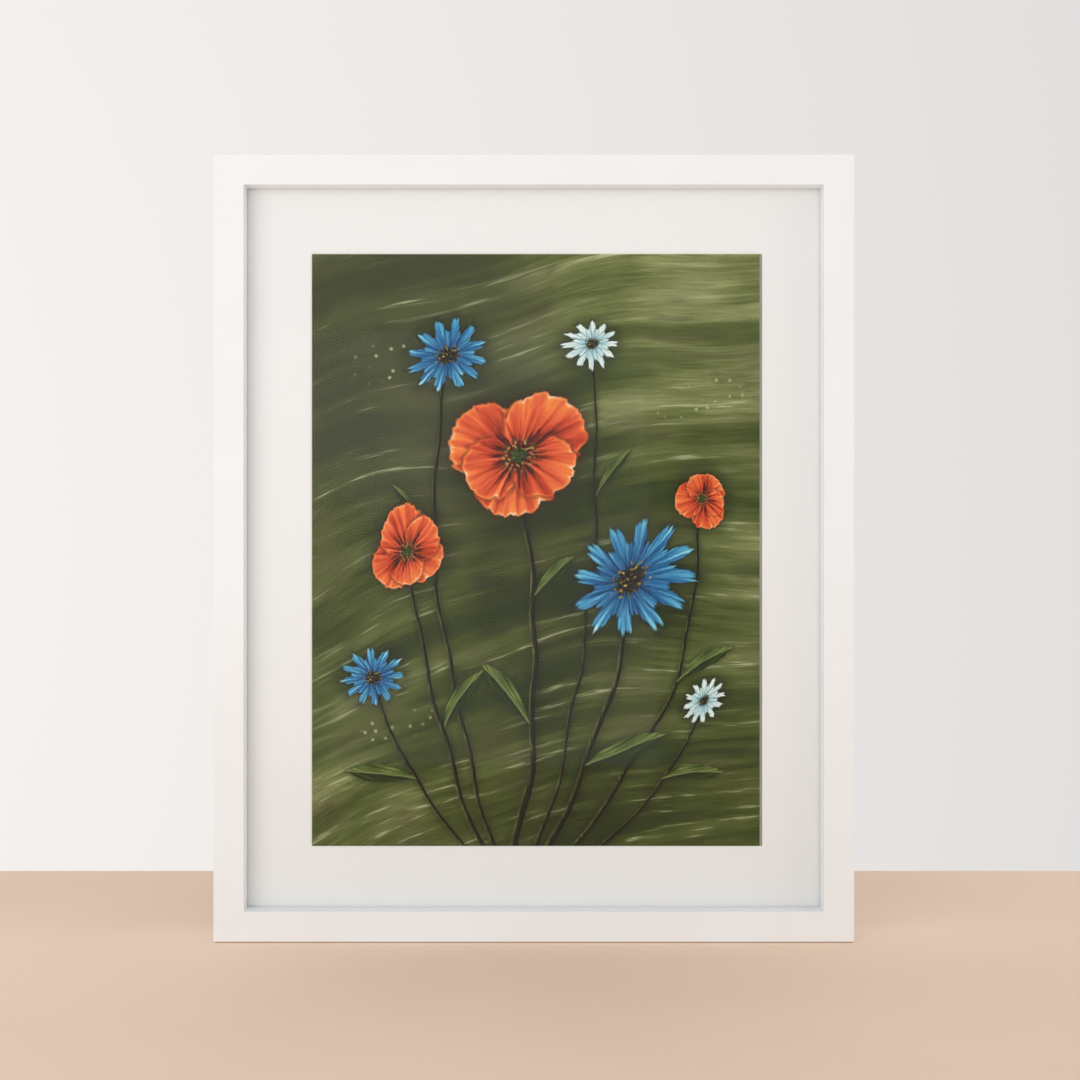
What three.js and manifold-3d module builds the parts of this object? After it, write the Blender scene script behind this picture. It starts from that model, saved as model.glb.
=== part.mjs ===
// A deep white picture frame that stands on its own lower edge, with a matted print behind a clear pane.
// Millimetres, +Z up. The front faces -Y and the width runs along X. The origin is on the floor, at the
// middle of the width and halfway between the front face and the proudest fitting on the back.
//
// Depth is counted from the front face towards the back. Each rail is drawn as the bottom one, in a frame
// centred on the picture, and turned about Y to its own side.

import * as THREE from "three";
import { mergeVertices } from "three/addons/utils/BufferGeometryUtils.js";
import Module from "manifold-3d";

const wasm = await Module();
wasm.setup();

// ---- Driving dimensions ------------------------------------------------------------------------------

const GAP = 0.3; // between any two pieces that touch in the real frame

const SIGHT = { width: 391, height: 490 }; // the clear opening in the front
const RAIL = {
  face: 20.5, // width of the front face
  depth: 35, // front to back, deep enough to stand unaided
  lip: 13.8, // thickness of the front in front of the rebate
  rebate: 5, // how far the lip covers the panels' edges
  chamfer: 0.6, // broken edges
};

const PANEL_PLAY = 1.6; // how much smaller than the rebate each panel is cut
const PANE = 1.2; // clear acrylic sheet
const MAT = 0.9; // mat board, cut at 45 degrees round its window
const PRINT = 0.5; // heavy art paper
const MOUNT_BOARD = 1.5; // grey board behind the print
const BACK_BOARD = 3; // hardboard
const SPACER_WIDTH = 9; // strips that hold the pack against the lip

const WINDOW = { width: 307.4, height: 404.2, right: 2.4, down: 1.5 }; // with its shift from the centre
const PRINT_MARGIN = 6; // how far the print runs on behind the mat at the left, top and bottom
const BARE_STRIP = 1.7; // where the print ends short of the window's right side

const BUTTON = { hub: 5, tip: 3.2, reach: 17, thick: 1 }; // turn buttons over the back board
const BUTTON_PLACES = { short: 120, long: 175 }; // either side of the middle of a short or a long rail
const SCREW = {
  head: 3.2, // radius of the pan head
  rise: 2, // its height
  shank: 1.5, // radius
  length: 12, // under the head
  slot: { wide: 0.8, long: 3.5, deep: 1.1 }, // of the cross in the head
};
const BORE_SPARE = 1; // how much deeper than the screw a bore is

const HANGER = {
  wire: 0.9, // radius of the ring's wire
  strap: 0.9, // thickness of the plate
  width: 9, // of the plate
  drop: 26, // from the ring's axis to the plate's lower end
  height: 360, // of the ring's axis above the floor
  screwDrop: 7.5, // from the axis to the screw
  curl: 255, // degrees that the eye is rolled round
};
const RING = { halfWidth: 6.4, length: 14, barCorner: 2.2 }; // along the wire's centre line

const BUMPER = { radius: 5, rise: 3, rim: 0.8 };

const SPARE = 1; // how far a cutting solid reaches past what it cuts
const FACETS = { screw: 16, bore: 12, wire: 10, ring: 56, arc: 12, bumper: 16, dome: 5 };

// ---- Sizes that follow -------------------------------------------------------------------------------

const OUTER = { width: SIGHT.width + 2 * RAIL.face, height: SIGHT.height + 2 * RAIL.face };
const CENTRE_Z = OUTER.height / 2;
const WALL = RAIL.face - RAIL.rebate; // thickness of a rail beside the rebate
const REBATE = { width: OUTER.width - 2 * WALL, height: OUTER.height - 2 * WALL };
const PANEL = { width: REBATE.width - PANEL_PLAY, height: REBATE.height - PANEL_PLAY };
const PANEL_Z = -REBATE.height / 2 + GAP + PANEL.height / 2; // panels stand on the bottom rail

const PANE_AT = RAIL.lip + GAP;
const MAT_AT = PANE_AT + PANE + GAP;
const PRINT_AT = MAT_AT + MAT + GAP;
const MOUNT_AT = PRINT_AT + PRINT + GAP;
const SPACER_AT = MOUNT_AT + MOUNT_BOARD + GAP;
const BACK_AT = RAIL.depth - GAP - BACK_BOARD;
const SPACER = BACK_AT - GAP - SPACER_AT;

const SCREW_INSET = WALL / 2; // from a rail's outer edge to its screws
const BUTTON_AT = RAIL.depth + GAP;
const BUTTON_HEAD_AT = BUTTON_AT + BUTTON.thick + GAP;
const EYE = { inner: HANGER.wire + GAP, outer: HANGER.wire + GAP + HANGER.strap };
const AXIS_AT = RAIL.depth + GAP + EYE.outer; // depth of a ring's axis
const STRAP_AT = RAIL.depth + GAP;
const HANGER_HEAD_AT = STRAP_AT + HANGER.strap + GAP;

const FRONT_Y = -(AXIS_AT + EYE.outer) / 2;

// ---- Materials ---------------------------------------------------------------------------------------

const finish = (color, roughness, metalness = 0) =>
  new THREE.MeshStandardMaterial({ color, roughness, metalness });

const MATERIALS = {
  whitePaint: finish(0xf0edea, 0.45),
  clearSheet: new THREE.MeshStandardMaterial({
    color: 0xffffff,
    roughness: 0.03,
    transparent: true,
    opacity: 0.12,
  }),
  matCard: finish(0xecebe9, 0.9),
  artPaper: finish(0x4f5a35, 0.85),
  greyBoard: finish(0xa6a6a4, 0.9),
  fibreStrip: finish(0xa98a63, 0.85),
  hardboard: finish(0x8a6a48, 0.75),
  nickel: finish(0xb9b6ae, 0.35, 1),
  zincScrew: finish(0xc6c8ca, 0.3, 1),
  softRubber: finish(0xe4e2dc, 0.6),
};

// ---- Solids ------------------------------------------------------------------------------------------

/** A closed three.js geometry as a solid that can be cut. */
function solid(geometry) {
  const bare = geometry.clone();
  bare.deleteAttribute("normal");
  bare.deleteAttribute("uv");
  const merged = mergeVertices(bare, 1e-4);
  return new wasm.Manifold(
    new wasm.Mesh({
      numProp: 3,
      vertProperties: new Float32Array(merged.attributes.position.array),
      triVerts: new Uint32Array(merged.index.array),
    }),
  );
}

/** A solid back as a three.js geometry. */
function geometryOf(body) {
  const mesh = body.getMesh();
  const geometry = new THREE.BufferGeometry();
  geometry.setAttribute("position", new THREE.BufferAttribute(mesh.vertProperties, 3));
  geometry.setIndex(new THREE.BufferAttribute(mesh.triVerts, 1));
  geometry.computeVertexNormals();
  return geometry;
}

/** Moves each vertex by a function of its place. */
function reshape(geometry, move) {
  const at = geometry.attributes.position;
  const point = new THREE.Vector3();
  for (let i = 0; i < at.count; i += 1) {
    point.fromBufferAttribute(at, i);
    move(point);
    at.setXYZ(i, point.x, point.y, point.z);
  }
  return geometry;
}

/** An upright block from its width, its height and the depths of its two faces. */
function slab(width, height, from, to) {
  return new THREE.BoxGeometry(width, to - from, height).translate(0, FRONT_Y + (from + to) / 2, 0);
}

/** A flat outline in X and Z, extruded from one depth to another. */
function plate(shape, from, to) {
  const geometry = new THREE.ExtrudeGeometry(shape, {
    depth: to - from,
    bevelEnabled: false,
    curveSegments: FACETS.arc,
  });
  return geometry.rotateX(Math.PI / 2).translate(0, FRONT_Y + to, 0);
}

/** A round piece about an axis along Y. The profile's points are [radius, depth], from axis to axis. */
function turned(profile, sides) {
  const points = profile.map(([radius, depth]) => new THREE.Vector2(radius, depth));
  return new THREE.LatheGeometry(points, sides).translate(0, FRONT_Y, 0);
}

/** A bore for a screw, from behind a rail's back face into the wood. */
function bore() {
  const radius = SCREW.shank + GAP;
  const bottom = BUTTON_AT + BUTTON.thick - SCREW.length - BORE_SPARE;
  const mouth = RAIL.depth + SPARE;
  return turned([[0, bottom], [radius, bottom], [radius, mouth], [0, mouth]], FACETS.bore);
}

// ---- Frame rails -------------------------------------------------------------------------------------

/** The rail's section, from its outer edge inwards and from the front face back. */
function railSection() {
  const { face, depth, lip, chamfer } = RAIL;
  const shape = new THREE.Shape();
  shape.moveTo(chamfer, 0);
  shape.lineTo(face - chamfer, 0);
  shape.lineTo(face, chamfer);
  shape.lineTo(face, lip);
  shape.lineTo(WALL, lip);
  shape.lineTo(WALL, depth);
  shape.lineTo(chamfer, depth);
  shape.lineTo(0, depth - chamfer);
  shape.lineTo(0, chamfer);
  shape.closePath();
  return shape;
}

/** A rail with mitred ends, as the bottom one, with a bore for each of its screws. */
function rail(length, reach, bores) {
  const geometry = new THREE.ExtrudeGeometry(railSection(), { depth: length, bevelEnabled: false });
  const pullBack = (GAP / 2) * Math.SQRT2; // half of the mitre's gap, along the rail
  reshape(geometry, (p) => {
    const inward = p.x;
    const deep = p.y;
    const end = length / 2 - inward - pullBack;
    p.set(p.z > length / 2 ? -end : end, FRONT_Y + deep, inward - reach);
  });
  let body = solid(geometry);
  for (const along of bores) {
    const hole = bore().translate(along, 0, SCREW_INSET - reach);
    body = body.subtract(solid(hole));
  }
  return geometryOf(body);
}

// ---- The pack behind the lip -------------------------------------------------------------------------
// These are drawn about the panels' own centre, which lies PANEL_Z from the picture's.

/** A full-size panel of the pack. */
function panel(at, thick) {
  return slab(PANEL.width, PANEL.height, at, at + thick);
}

/** The mat board with its bevelled window, wider at the front. */
function matBoard() {
  const cutter = slab(1, 1, MAT_AT - SPARE, MAT_AT + MAT + SPARE);
  const middle = FRONT_Y + MAT_AT + MAT / 2;
  reshape(cutter, (p) => {
    const grow = p.y < middle ? MAT + SPARE : -SPARE;
    p.x = Math.sign(p.x) * (WINDOW.width / 2 + grow) + WINDOW.right;
    p.z = Math.sign(p.z) * (WINDOW.height / 2 + grow) - WINDOW.down - PANEL_Z;
  });
  return geometryOf(solid(panel(MAT_AT, MAT)).subtract(solid(cutter)));
}

/** The print, which shows through the window and stops short of its right side. */
function printSheet() {
  const left = WINDOW.right - WINDOW.width / 2 - PRINT_MARGIN;
  const right = WINDOW.right + WINDOW.width / 2 - BARE_STRIP;
  const height = WINDOW.height + 2 * PRINT_MARGIN;
  const sheet = slab(right - left, height, PRINT_AT, PRINT_AT + PRINT);
  return sheet.translate((left + right) / 2, 0, -WINDOW.down - PANEL_Z);
}

/** A spacer strip, as the bottom one. The upright strips stand between the other two. */
function spacerStrip(upright) {
  const length = upright ? PANEL.height - 2 * (SPACER_WIDTH + GAP) : PANEL.width;
  const reach = (upright ? PANEL.width : PANEL.height) / 2;
  const strip = slab(length, SPACER_WIDTH, SPACER_AT, SPACER_AT + SPACER);
  return strip.translate(0, 0, SPACER_WIDTH / 2 - reach);
}

// ---- Fittings on the back ----------------------------------------------------------------------------

/** A turn button, as on the bottom rail: its hub on the screw and its tip over the back board. */
function turnButton() {
  const { hub, tip, reach, thick } = BUTTON;
  const tangent = Math.acos((hub - tip) / reach);
  const up = Math.PI / 2;
  const shape = new THREE.Shape();
  shape.absarc(0, 0, hub, up + tangent, 2 * Math.PI + up - tangent, false);
  shape.absarc(0, reach, tip, up - tangent, up + tangent, false);
  shape.closePath();
  const eye = new THREE.Path();
  eye.absarc(0, 0, SCREW.shank + GAP, 0, 2 * Math.PI, true);
  shape.holes.push(eye);
  return plate(shape, BUTTON_AT, BUTTON_AT + thick);
}

/** A pan-head screw with a cross slot, the underside of its head at the given depth. */
function screw(headAt) {
  const { head, rise, shank, length, slot } = SCREW;
  const point = headAt - length;
  const top = headAt + rise;
  const profile = [
    [0, point],
    [shank, point + 2 * shank],
    [shank, headAt],
    [head, headAt],
    [head, headAt + rise * 0.4],
    [head * 0.85, headAt + rise * 0.75],
    [head * 0.5, top],
    [0, top],
  ];
  let body = solid(turned(profile, FACETS.screw));
  for (const [wide, high] of [[slot.long, slot.wide], [slot.wide, slot.long]]) {
    body = body.subtract(solid(slab(wide, high, top - slot.deep, top + SPARE)));
  }
  return geometryOf(body);
}

/** The hanger's plate with its rolled eye, about the ring's axis. */
function hangerPlate() {
  const { strap, width, drop, screwDrop, curl } = HANGER;
  const underside = STRAP_AT - AXIS_AT; // the plate's side against the rail, from the axis
  const down = -Math.PI / 2;
  const curlEnd = down + THREE.MathUtils.degToRad(curl);
  const side = new THREE.Shape(); // height along X and depth along Y
  side.moveTo(-drop, underside);
  side.lineTo(0, underside);
  side.absarc(0, 0, EYE.outer, down, curlEnd, false);
  side.absarc(0, 0, EYE.inner, curlEnd, down, true);
  side.lineTo(-drop, underside + strap);
  side.closePath();
  const strip = new THREE.ExtrudeGeometry(side, {
    depth: width,
    bevelEnabled: false,
    curveSegments: FACETS.arc,
  });
  reshape(strip, (p) => p.set(width / 2 - p.z, FRONT_Y + AXIS_AT + p.y, p.x));

  const outline = new THREE.Shape(); // as seen from the front, with a round lower end
  outline.absarc(0, width / 2 - drop, width / 2, -Math.PI, 0, false);
  outline.lineTo(width / 2, EYE.outer + SPARE);
  outline.lineTo(-width / 2, EYE.outer + SPARE);
  outline.closePath();
  const hole = new THREE.Path();
  hole.absarc(0, -screwDrop, SCREW.shank + GAP, 0, 2 * Math.PI, true);
  outline.holes.push(hole);
  const cutter = plate(outline, STRAP_AT - SPARE, AXIS_AT + EYE.outer + SPARE);
  return geometryOf(solid(strip).intersect(solid(cutter)));
}

/** The ring's centre line: a D that hangs from a straight bar on the axis. */
class RingPath extends THREE.Curve {
  constructor() {
    super();
    const { halfWidth, length, barCorner } = RING;
    const quarter = Math.PI / 2;
    this.parts = [
      this.straight(-halfWidth + barCorner, 0, halfWidth - barCorner, 0),
      this.arc(halfWidth - barCorner, -barCorner, barCorner, quarter, 0),
      this.straight(halfWidth, -barCorner, halfWidth, halfWidth - length),
      this.arc(0, halfWidth - length, halfWidth, 0, -Math.PI),
      this.straight(-halfWidth, halfWidth - length, -halfWidth, -barCorner),
      this.arc(barCorner - halfWidth, -barCorner, barCorner, Math.PI, quarter),
    ];
    this.total = this.parts.reduce((sum, part) => sum + part.long, 0);
  }

  straight(x0, z0, x1, z1) {
    const long = Math.hypot(x1 - x0, z1 - z0);
    return { long, at: (t) => [x0 + (x1 - x0) * t, z0 + (z1 - z0) * t] };
  }

  arc(x, z, radius, from, to) {
    const long = Math.abs(to - from) * radius;
    const turn = (t) => from + (to - from) * t;
    return { long, at: (t) => [x + radius * Math.cos(turn(t)), z + radius * Math.sin(turn(t))] };
  }

  getPoint(t, target = new THREE.Vector3()) {
    let left = (t % 1) * this.total;
    let part = this.parts[0];
    for (const next of this.parts) {
      part = next;
      if (left <= next.long) break;
      left -= next.long;
    }
    const [x, z] = part.at(Math.min(left / part.long, 1));
    return target.set(x, 0, z);
  }
}

/** The hanging ring about its own axis. */
function hangerRing() {
  const ring = new THREE.TubeGeometry(new RingPath(), FACETS.ring, HANGER.wire, FACETS.wire, true);
  return ring.translate(0, FRONT_Y + AXIS_AT, 0);
}

/** A soft dome that keeps the frame's lower corner off a wall. */
function bumper() {
  const { radius, rise, rim } = BUMPER;
  const foot = RAIL.depth + GAP;
  const profile = [[0, foot], [radius, foot], [radius, foot + rim]];
  for (let i = 1; i < FACETS.dome; i += 1) {
    const turn = (i / FACETS.dome) * (Math.PI / 2);
    profile.push([radius * Math.cos(turn), foot + rim + (rise - rim) * Math.sin(turn)]);
  }
  profile.push([0, foot + rise]);
  return turned(profile, FACETS.bumper);
}

// ---- Assembly ----------------------------------------------------------------------------------------

const HANGER_SCREW_UP = HANGER.height - HANGER.screwDrop - CENTRE_Z; // above the picture's middle

// A rail's ends are named in the order of its own X, and its hangers are places along it.
const SIDES = [
  { name: "bottom", turn: 0, upright: false, ends: ["left", "right"], hangers: [] },
  { name: "left", turn: 90, upright: true, ends: ["upper", "lower"], hangers: [-HANGER_SCREW_UP] },
  { name: "top", turn: 180, upright: false, ends: ["right", "left"], hangers: [] },
  { name: "right", turn: -90, upright: true, ends: ["lower", "upper"], hangers: [HANGER_SCREW_UP] },
];

/** Adds a group to its parent, at a place and turned about Y by an angle in degrees. */
function addGroup(parent, place = [0, 0, 0], turn = 0) {
  const group = new THREE.Group();
  group.position.set(...place);
  group.rotation.y = THREE.MathUtils.degToRad(turn);
  parent.add(group);
  return group;
}

/** Adds one named mesh to a group. */
function addMesh(parent, name, geometry, material) {
  const mesh = new THREE.Mesh(geometry, material);
  mesh.name = name;
  parent.add(mesh);
}

/** One side of the frame: its rail, its spacer strip and its turn buttons. */
function addSide(picture, pack, side) {
  const { name, turn, upright, ends, hangers } = side;
  const length = upright ? OUTER.height : OUTER.width;
  const reach = (upright ? OUTER.width : OUTER.height) / 2;
  const apart = upright ? BUTTON_PLACES.long : BUTTON_PLACES.short;
  const places = [-apart, apart];

  const edge = addGroup(picture, [0, 0, 0], turn);
  addMesh(edge, `rail_${name}`, rail(length, reach, [...places, ...hangers]), MATERIALS.whitePaint);
  places.forEach((along, i) => {
    const spot = addGroup(edge, [along, 0, SCREW_INSET - reach]);
    addMesh(spot, `turn_button_${name}_${ends[i]}`, turnButton(), MATERIALS.nickel);
    addMesh(spot, `button_screw_${name}_${ends[i]}`, screw(BUTTON_HEAD_AT), MATERIALS.zincScrew);
  });

  addMesh(addGroup(pack, [0, 0, 0], turn), `spacer_${name}`, spacerStrip(upright), MATERIALS.fibreStrip);
}

/** The panels behind the lip, from the front to the back. */
function addPack(pack) {
  addMesh(pack, "glazing", panel(PANE_AT, PANE), MATERIALS.clearSheet);
  addMesh(pack, "mat_board", matBoard(), MATERIALS.matCard);
  addMesh(pack, "print_sheet", printSheet(), MATERIALS.artPaper);
  addMesh(pack, "mount_board", panel(MOUNT_AT, MOUNT_BOARD), MATERIALS.greyBoard);
  addMesh(pack, "back_board", panel(BACK_AT, BACK_BOARD), MATERIALS.hardboard);
}

/** A hanger and a bumper on the back of one upright rail. */
function addFittings(whole, name, sign) {
  const x = sign * (OUTER.width / 2 - SCREW_INSET);
  const hanger = addGroup(whole, [x, 0, HANGER.height]);
  addMesh(hanger, `hanger_plate_${name}`, hangerPlate(), MATERIALS.nickel);
  addMesh(hanger, `hanger_ring_${name}`, hangerRing(), MATERIALS.nickel);
  const spot = addGroup(hanger, [0, 0, -HANGER.screwDrop]);
  addMesh(spot, `hanger_screw_${name}`, screw(HANGER_HEAD_AT), MATERIALS.zincScrew);
  const corner = addGroup(whole, [x, 0, SCREW_INSET]);
  addMesh(corner, `bumper_${name}`, bumper(), MATERIALS.softRubber);
}

const group = new THREE.Group();
const picture = addGroup(group, [0, 0, CENTRE_Z]);
const pack = addGroup(picture, [0, 0, PANEL_Z]);
addPack(pack);
for (const side of SIDES) addSide(picture, pack, side);
addFittings(group, "left", -1);
addFittings(group, "right", 1);

export default group;
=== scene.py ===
"""A deep white picture frame that stands on its own lower edge, with a matted print behind a clear pane.

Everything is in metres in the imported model's own frame: +Z is up, the picture faces -Y, and the origin is
on the floor under the middle of the frame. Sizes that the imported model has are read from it.
"""

import logging
import math
from abc import ABC, abstractmethod
from collections.abc import Callable, Iterator, Mapping, Sequence
from contextlib import contextmanager
from dataclasses import dataclass, field
from enum import Enum
from functools import cached_property
from typing import Any, Union

import bmesh
import bpy
from mathutils import Matrix, Vector


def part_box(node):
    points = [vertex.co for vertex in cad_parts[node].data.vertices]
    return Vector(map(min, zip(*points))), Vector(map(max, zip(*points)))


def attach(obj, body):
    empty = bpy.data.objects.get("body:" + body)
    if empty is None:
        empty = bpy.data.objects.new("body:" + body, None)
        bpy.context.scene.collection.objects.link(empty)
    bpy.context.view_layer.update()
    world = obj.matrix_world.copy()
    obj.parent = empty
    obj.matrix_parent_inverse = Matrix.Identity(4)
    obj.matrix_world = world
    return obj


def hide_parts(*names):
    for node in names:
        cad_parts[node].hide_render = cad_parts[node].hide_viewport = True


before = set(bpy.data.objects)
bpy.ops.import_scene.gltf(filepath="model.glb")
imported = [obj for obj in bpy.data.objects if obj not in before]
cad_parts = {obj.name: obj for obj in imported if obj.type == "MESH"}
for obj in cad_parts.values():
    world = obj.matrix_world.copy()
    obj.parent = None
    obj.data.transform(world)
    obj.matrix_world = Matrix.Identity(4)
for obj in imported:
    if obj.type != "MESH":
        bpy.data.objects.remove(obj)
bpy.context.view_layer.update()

LOG = logging.getLogger("picture_frame")
MM = 0.001
GAP = 0.3 * MM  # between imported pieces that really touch
SLIVER = 0.02 * MM  # what is left of it here
NEAR = 0.01 * MM  # closer than this counts as the same place

Object = bpy.types.Object
Material = bpy.types.Material
Colour = tuple[float, float, float, float]
Place = tuple[float, float]


# ---- Named options -----------------------------------------------------------------------------------


class Slot(Enum):
    """The record's material slots."""

    WHITE_PAINT = "white_paint"
    CLEAR_PANE = "clear_pane"
    MAT_CARD = "mat_card"
    ART_PRINT = "art_print"
    GREY_BOARD = "grey_board"
    FIBRE_STRIP = "fibre_strip"
    HARDBOARD = "hardboard"
    NICKEL = "nickel_plate"
    ZINC = "zinc_screw"
    RUBBER = "soft_rubber"


class Side(Enum):
    """The sides of the frame, each with the turn in degrees that brings the bottom one to it."""

    BOTTOM = 0
    LEFT = 90
    TOP = 180
    RIGHT = 270

    @property
    def label(self) -> str:
        """The side's name as the model spells it."""
        return self.name.lower()


class Axis(Enum):
    """The row frame's axes."""

    X = Vector((1, 0, 0))
    Y = Vector((0, 1, 0))
    Z = Vector((0, 0, 1))


FRONT, BACK = -Axis.Y.value, Axis.Y.value
DOWN, UP = -Axis.Z.value, Axis.Z.value


# ---- Colours -----------------------------------------------------------------------------------------


def colour(code: str) -> Colour:
    """Turns a hexadecimal display colour into the linear one that shaders take.

    Args:
        code: Six hexadecimal digits, two for each of red, green and blue.

    Returns:
        The linear colour, with full alpha.
    """
    channels = [int(code[i : i + 2], 16) / 255 for i in (0, 2, 4)]
    linear = [c / 12.92 if c <= 0.04045 else ((c + 0.055) / 1.055) ** 2.4 for c in channels]
    return (*linear, 1.0)


# ---- Node graphs -------------------------------------------------------------------------------------


class Field:
    """A number, colour or place that a node gives. Arithmetic on it adds further nodes."""

    def __init__(self, graph: "Graph", socket: bpy.types.NodeSocket) -> None:
        """Wraps one output of a node.

        Args:
            graph: The graph that the node is in.
            socket: The output.
        """
        self.graph = graph
        self.socket = socket

    def __add__(self, other: "Value") -> "Field":
        """Adds another value."""
        return self.graph.math("ADD", self, other)

    def __radd__(self, other: "Value") -> "Field":
        """Adds this to another value."""
        return self.graph.math("ADD", other, self)

    def __sub__(self, other: "Value") -> "Field":
        """Takes another value away."""
        return self.graph.math("SUBTRACT", self, other)

    def __rsub__(self, other: "Value") -> "Field":
        """Takes this away from another value."""
        return self.graph.math("SUBTRACT", other, self)

    def __mul__(self, other: "Value") -> "Field":
        """Multiplies by another value."""
        return self.graph.math("MULTIPLY", self, other)

    def __truediv__(self, other: "Value") -> "Field":
        """Divides by another value."""
        return self.graph.math("DIVIDE", self, other)

    def __abs__(self) -> "Field":
        """The size of this value without its sign."""
        return self.graph.math("ABSOLUTE", self)

    def scaled(self, by: "Value", plus: "Value") -> "Field":
        """This value times one value plus another, in one node."""
        return self.graph.math("MULTIPLY_ADD", self, by, plus)

    def step(self, low: float, high: float) -> "Field":
        """A soft step over this value.

        Args:
            low: Where the step is 0. It may lie above high, for a step that falls.
            high: Where the step is 1.

        Returns:
            The step, between 0 and 1.
        """
        return self.graph.node(
            "ShaderNodeMapRange",
            {"Value": self, "From Min": low, "From Max": high},
            interpolation_type="SMOOTHSTEP",
        )

    def part(self, axis: str) -> "Field":
        """One axis of a place."""
        return self.graph.node("ShaderNodeSeparateXYZ", {"Vector": self}, out=axis)


Value = Union[float, Sequence[float], Field]


class Graph:
    """A node tree, with a short call for each kind of node that the finishes use."""

    def __init__(self, tree: bpy.types.NodeTree) -> None:
        """Starts on an empty tree.

        Args:
            tree: The tree.
        """
        self.tree = tree
        self.tree.nodes.clear()

    def feed(self, socket: bpy.types.NodeSocket, value: Value) -> None:
        """Fills one input of a node.

        Args:
            socket: The input.
            value: The output that it reads, or the fixed value that it holds.
        """
        if isinstance(value, Field):
            self.tree.links.new(value.socket, socket)
        else:
            socket.default_value = value

    def ordered(self, kind: str, *values: Value, **settings: Any) -> bpy.types.Node:
        """Adds a node and fills its inputs in their order, as some kinds have two inputs of one name.

        Args:
            kind: Blender's name for the type of node.
            *values: What its first inputs read or hold.
            **settings: The node's own settings.

        Returns:
            The node.
        """
        node = self.tree.nodes.new(kind)
        for name, value in settings.items():
            setattr(node, name, value)
        for socket, value in zip(node.inputs, values):
            self.feed(socket, value)
        return node

    def node(self, kind: str, inputs: Mapping[str, Value], out: str | None = None, **settings: Any) -> Field:
        """Adds a node.

        Args:
            kind: Blender's name for the type of node.
            inputs: What each named input reads or holds.
            out: The name of the output that is wanted, or None for the first that is in use.
            **settings: The node's own settings.

        Returns:
            The wanted output.
        """
        node = self.ordered(kind, **settings)
        sockets = {s.identifier: s for s in node.inputs} | {s.name: s for s in node.inputs if s.enabled}
        for name, value in inputs.items():
            self.feed(sockets[name], value)
        wanted = [s for s in node.outputs if s.enabled and out in (None, s.name)]
        return Field(self, wanted[0])

    def math(self, operation: str, *values: Value) -> Field:
        """Works out a sum on numbers.

        Args:
            operation: Blender's name for the sum.
            *values: Up to three numbers.

        Returns:
            The answer.
        """
        return Field(self, self.ordered("ShaderNodeMath", *values, operation=operation).outputs[0])

    def vector(self, operation: str, *values: Value) -> Field:
        """Works out a sum on places.

        Args:
            operation: Blender's name for the sum.
            *values: Up to three places.

        Returns:
            The answer, a number for LENGTH and DOT_PRODUCT and a place otherwise.
        """
        node = self.ordered("ShaderNodeVectorMath", *values, operation=operation)
        return Field(self, node.outputs["Value" if operation in ("LENGTH", "DOT_PRODUCT") else "Vector"])

    def place(self) -> Field:
        """The place on the object, in metres."""
        return self.node("ShaderNodeTexCoord", {}, out="Object")

    def mapped(self, place: Field, at: Value = (0, 0, 0), turn: Value = (0, 0, 0),
               size: Value = (1, 1, 1), kind: str = "TEXTURE") -> Field:
        """Re-measures places.

        Args:
            place: The places.
            at: The new origin.
            turn: The new axes' turn in radians.
            size: The new unit along each axis.
            kind: The Mapping node's kind, TEXTURE for a new origin and POINT for a moved place.

        Returns:
            The places from the new origin.
        """
        return self.node(
            "ShaderNodeMapping",
            {"Vector": place, "Location": at, "Rotation": turn, "Scale": size},
            vector_type=kind,
        )

    def noise(self, place: Field, size: Value, detail: float = 2.0, rough: float = 0.5,
              flat: bool = False, out: str = "Fac", seed: Value = (0, 0, 0)) -> Field:
        """Cloudy noise.

        Args:
            place: Where it is read.
            size: How large its clouds are, or their size along each axis.
            detail: How many finer layers it has.
            rough: How strong the finer layers are.
            flat: Whether only the first two axes count.
            out: The output, Fac for a number and Color for three.
            seed: A shift that gives other clouds.

        Returns:
            The noise, from about 0.2 to 0.8.
        """
        unit = (size, size, size) if isinstance(size, (int, float)) else size
        return self.node(
            "ShaderNodeTexNoise",
            {"Vector": self.mapped(place, at=seed, size=unit), "Scale": 1.0, "Detail": detail,
             "Roughness": rough},
            out=out,
            noise_dimensions="2D" if flat else "3D",
        )

    def ramp(self, value: Value, stops: Sequence[tuple[float, str]]) -> Field:
        """Colours a number.

        Args:
            value: The number, from 0 to 1.
            stops: Each stop's place and hexadecimal colour.

        Returns:
            The colour.
        """
        made = self.node("ShaderNodeValToRGB", {"Fac": value}, out="Color")
        elements = made.socket.node.color_ramp.elements
        for element, (at, code) in zip(elements, (stops[0], stops[-1])):
            element.position, element.color = at, colour(code)
        for at, code in stops[1:-1]:
            elements.new(at).color = colour(code)
        return made

    def mix(self, under: Value, over: Value, share: Value, how: str = "MIX") -> Field:
        """Lays one colour over another.

        Args:
            under: The lower colour.
            over: The upper colour.
            share: How much of the upper one shows.
            how: Blender's name for the way of mixing.

        Returns:
            The mixed colour.
        """
        return self.node(
            "ShaderNodeMix",
            {"Factor_Float": share, "A_Color": under, "B_Color": over},
            data_type="RGBA",
            blend_type=how,
        )

    def bump(self, height: Field, depth: float) -> Field:
        """Turns a height into a normal.

        Args:
            height: The height, from 0 to 1.
            depth: What a height of 1 measures, in metres.

        Returns:
            The normal.
        """
        return self.node("ShaderNodeBump", {"Height": height, "Distance": depth, "Strength": 1.0})

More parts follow.
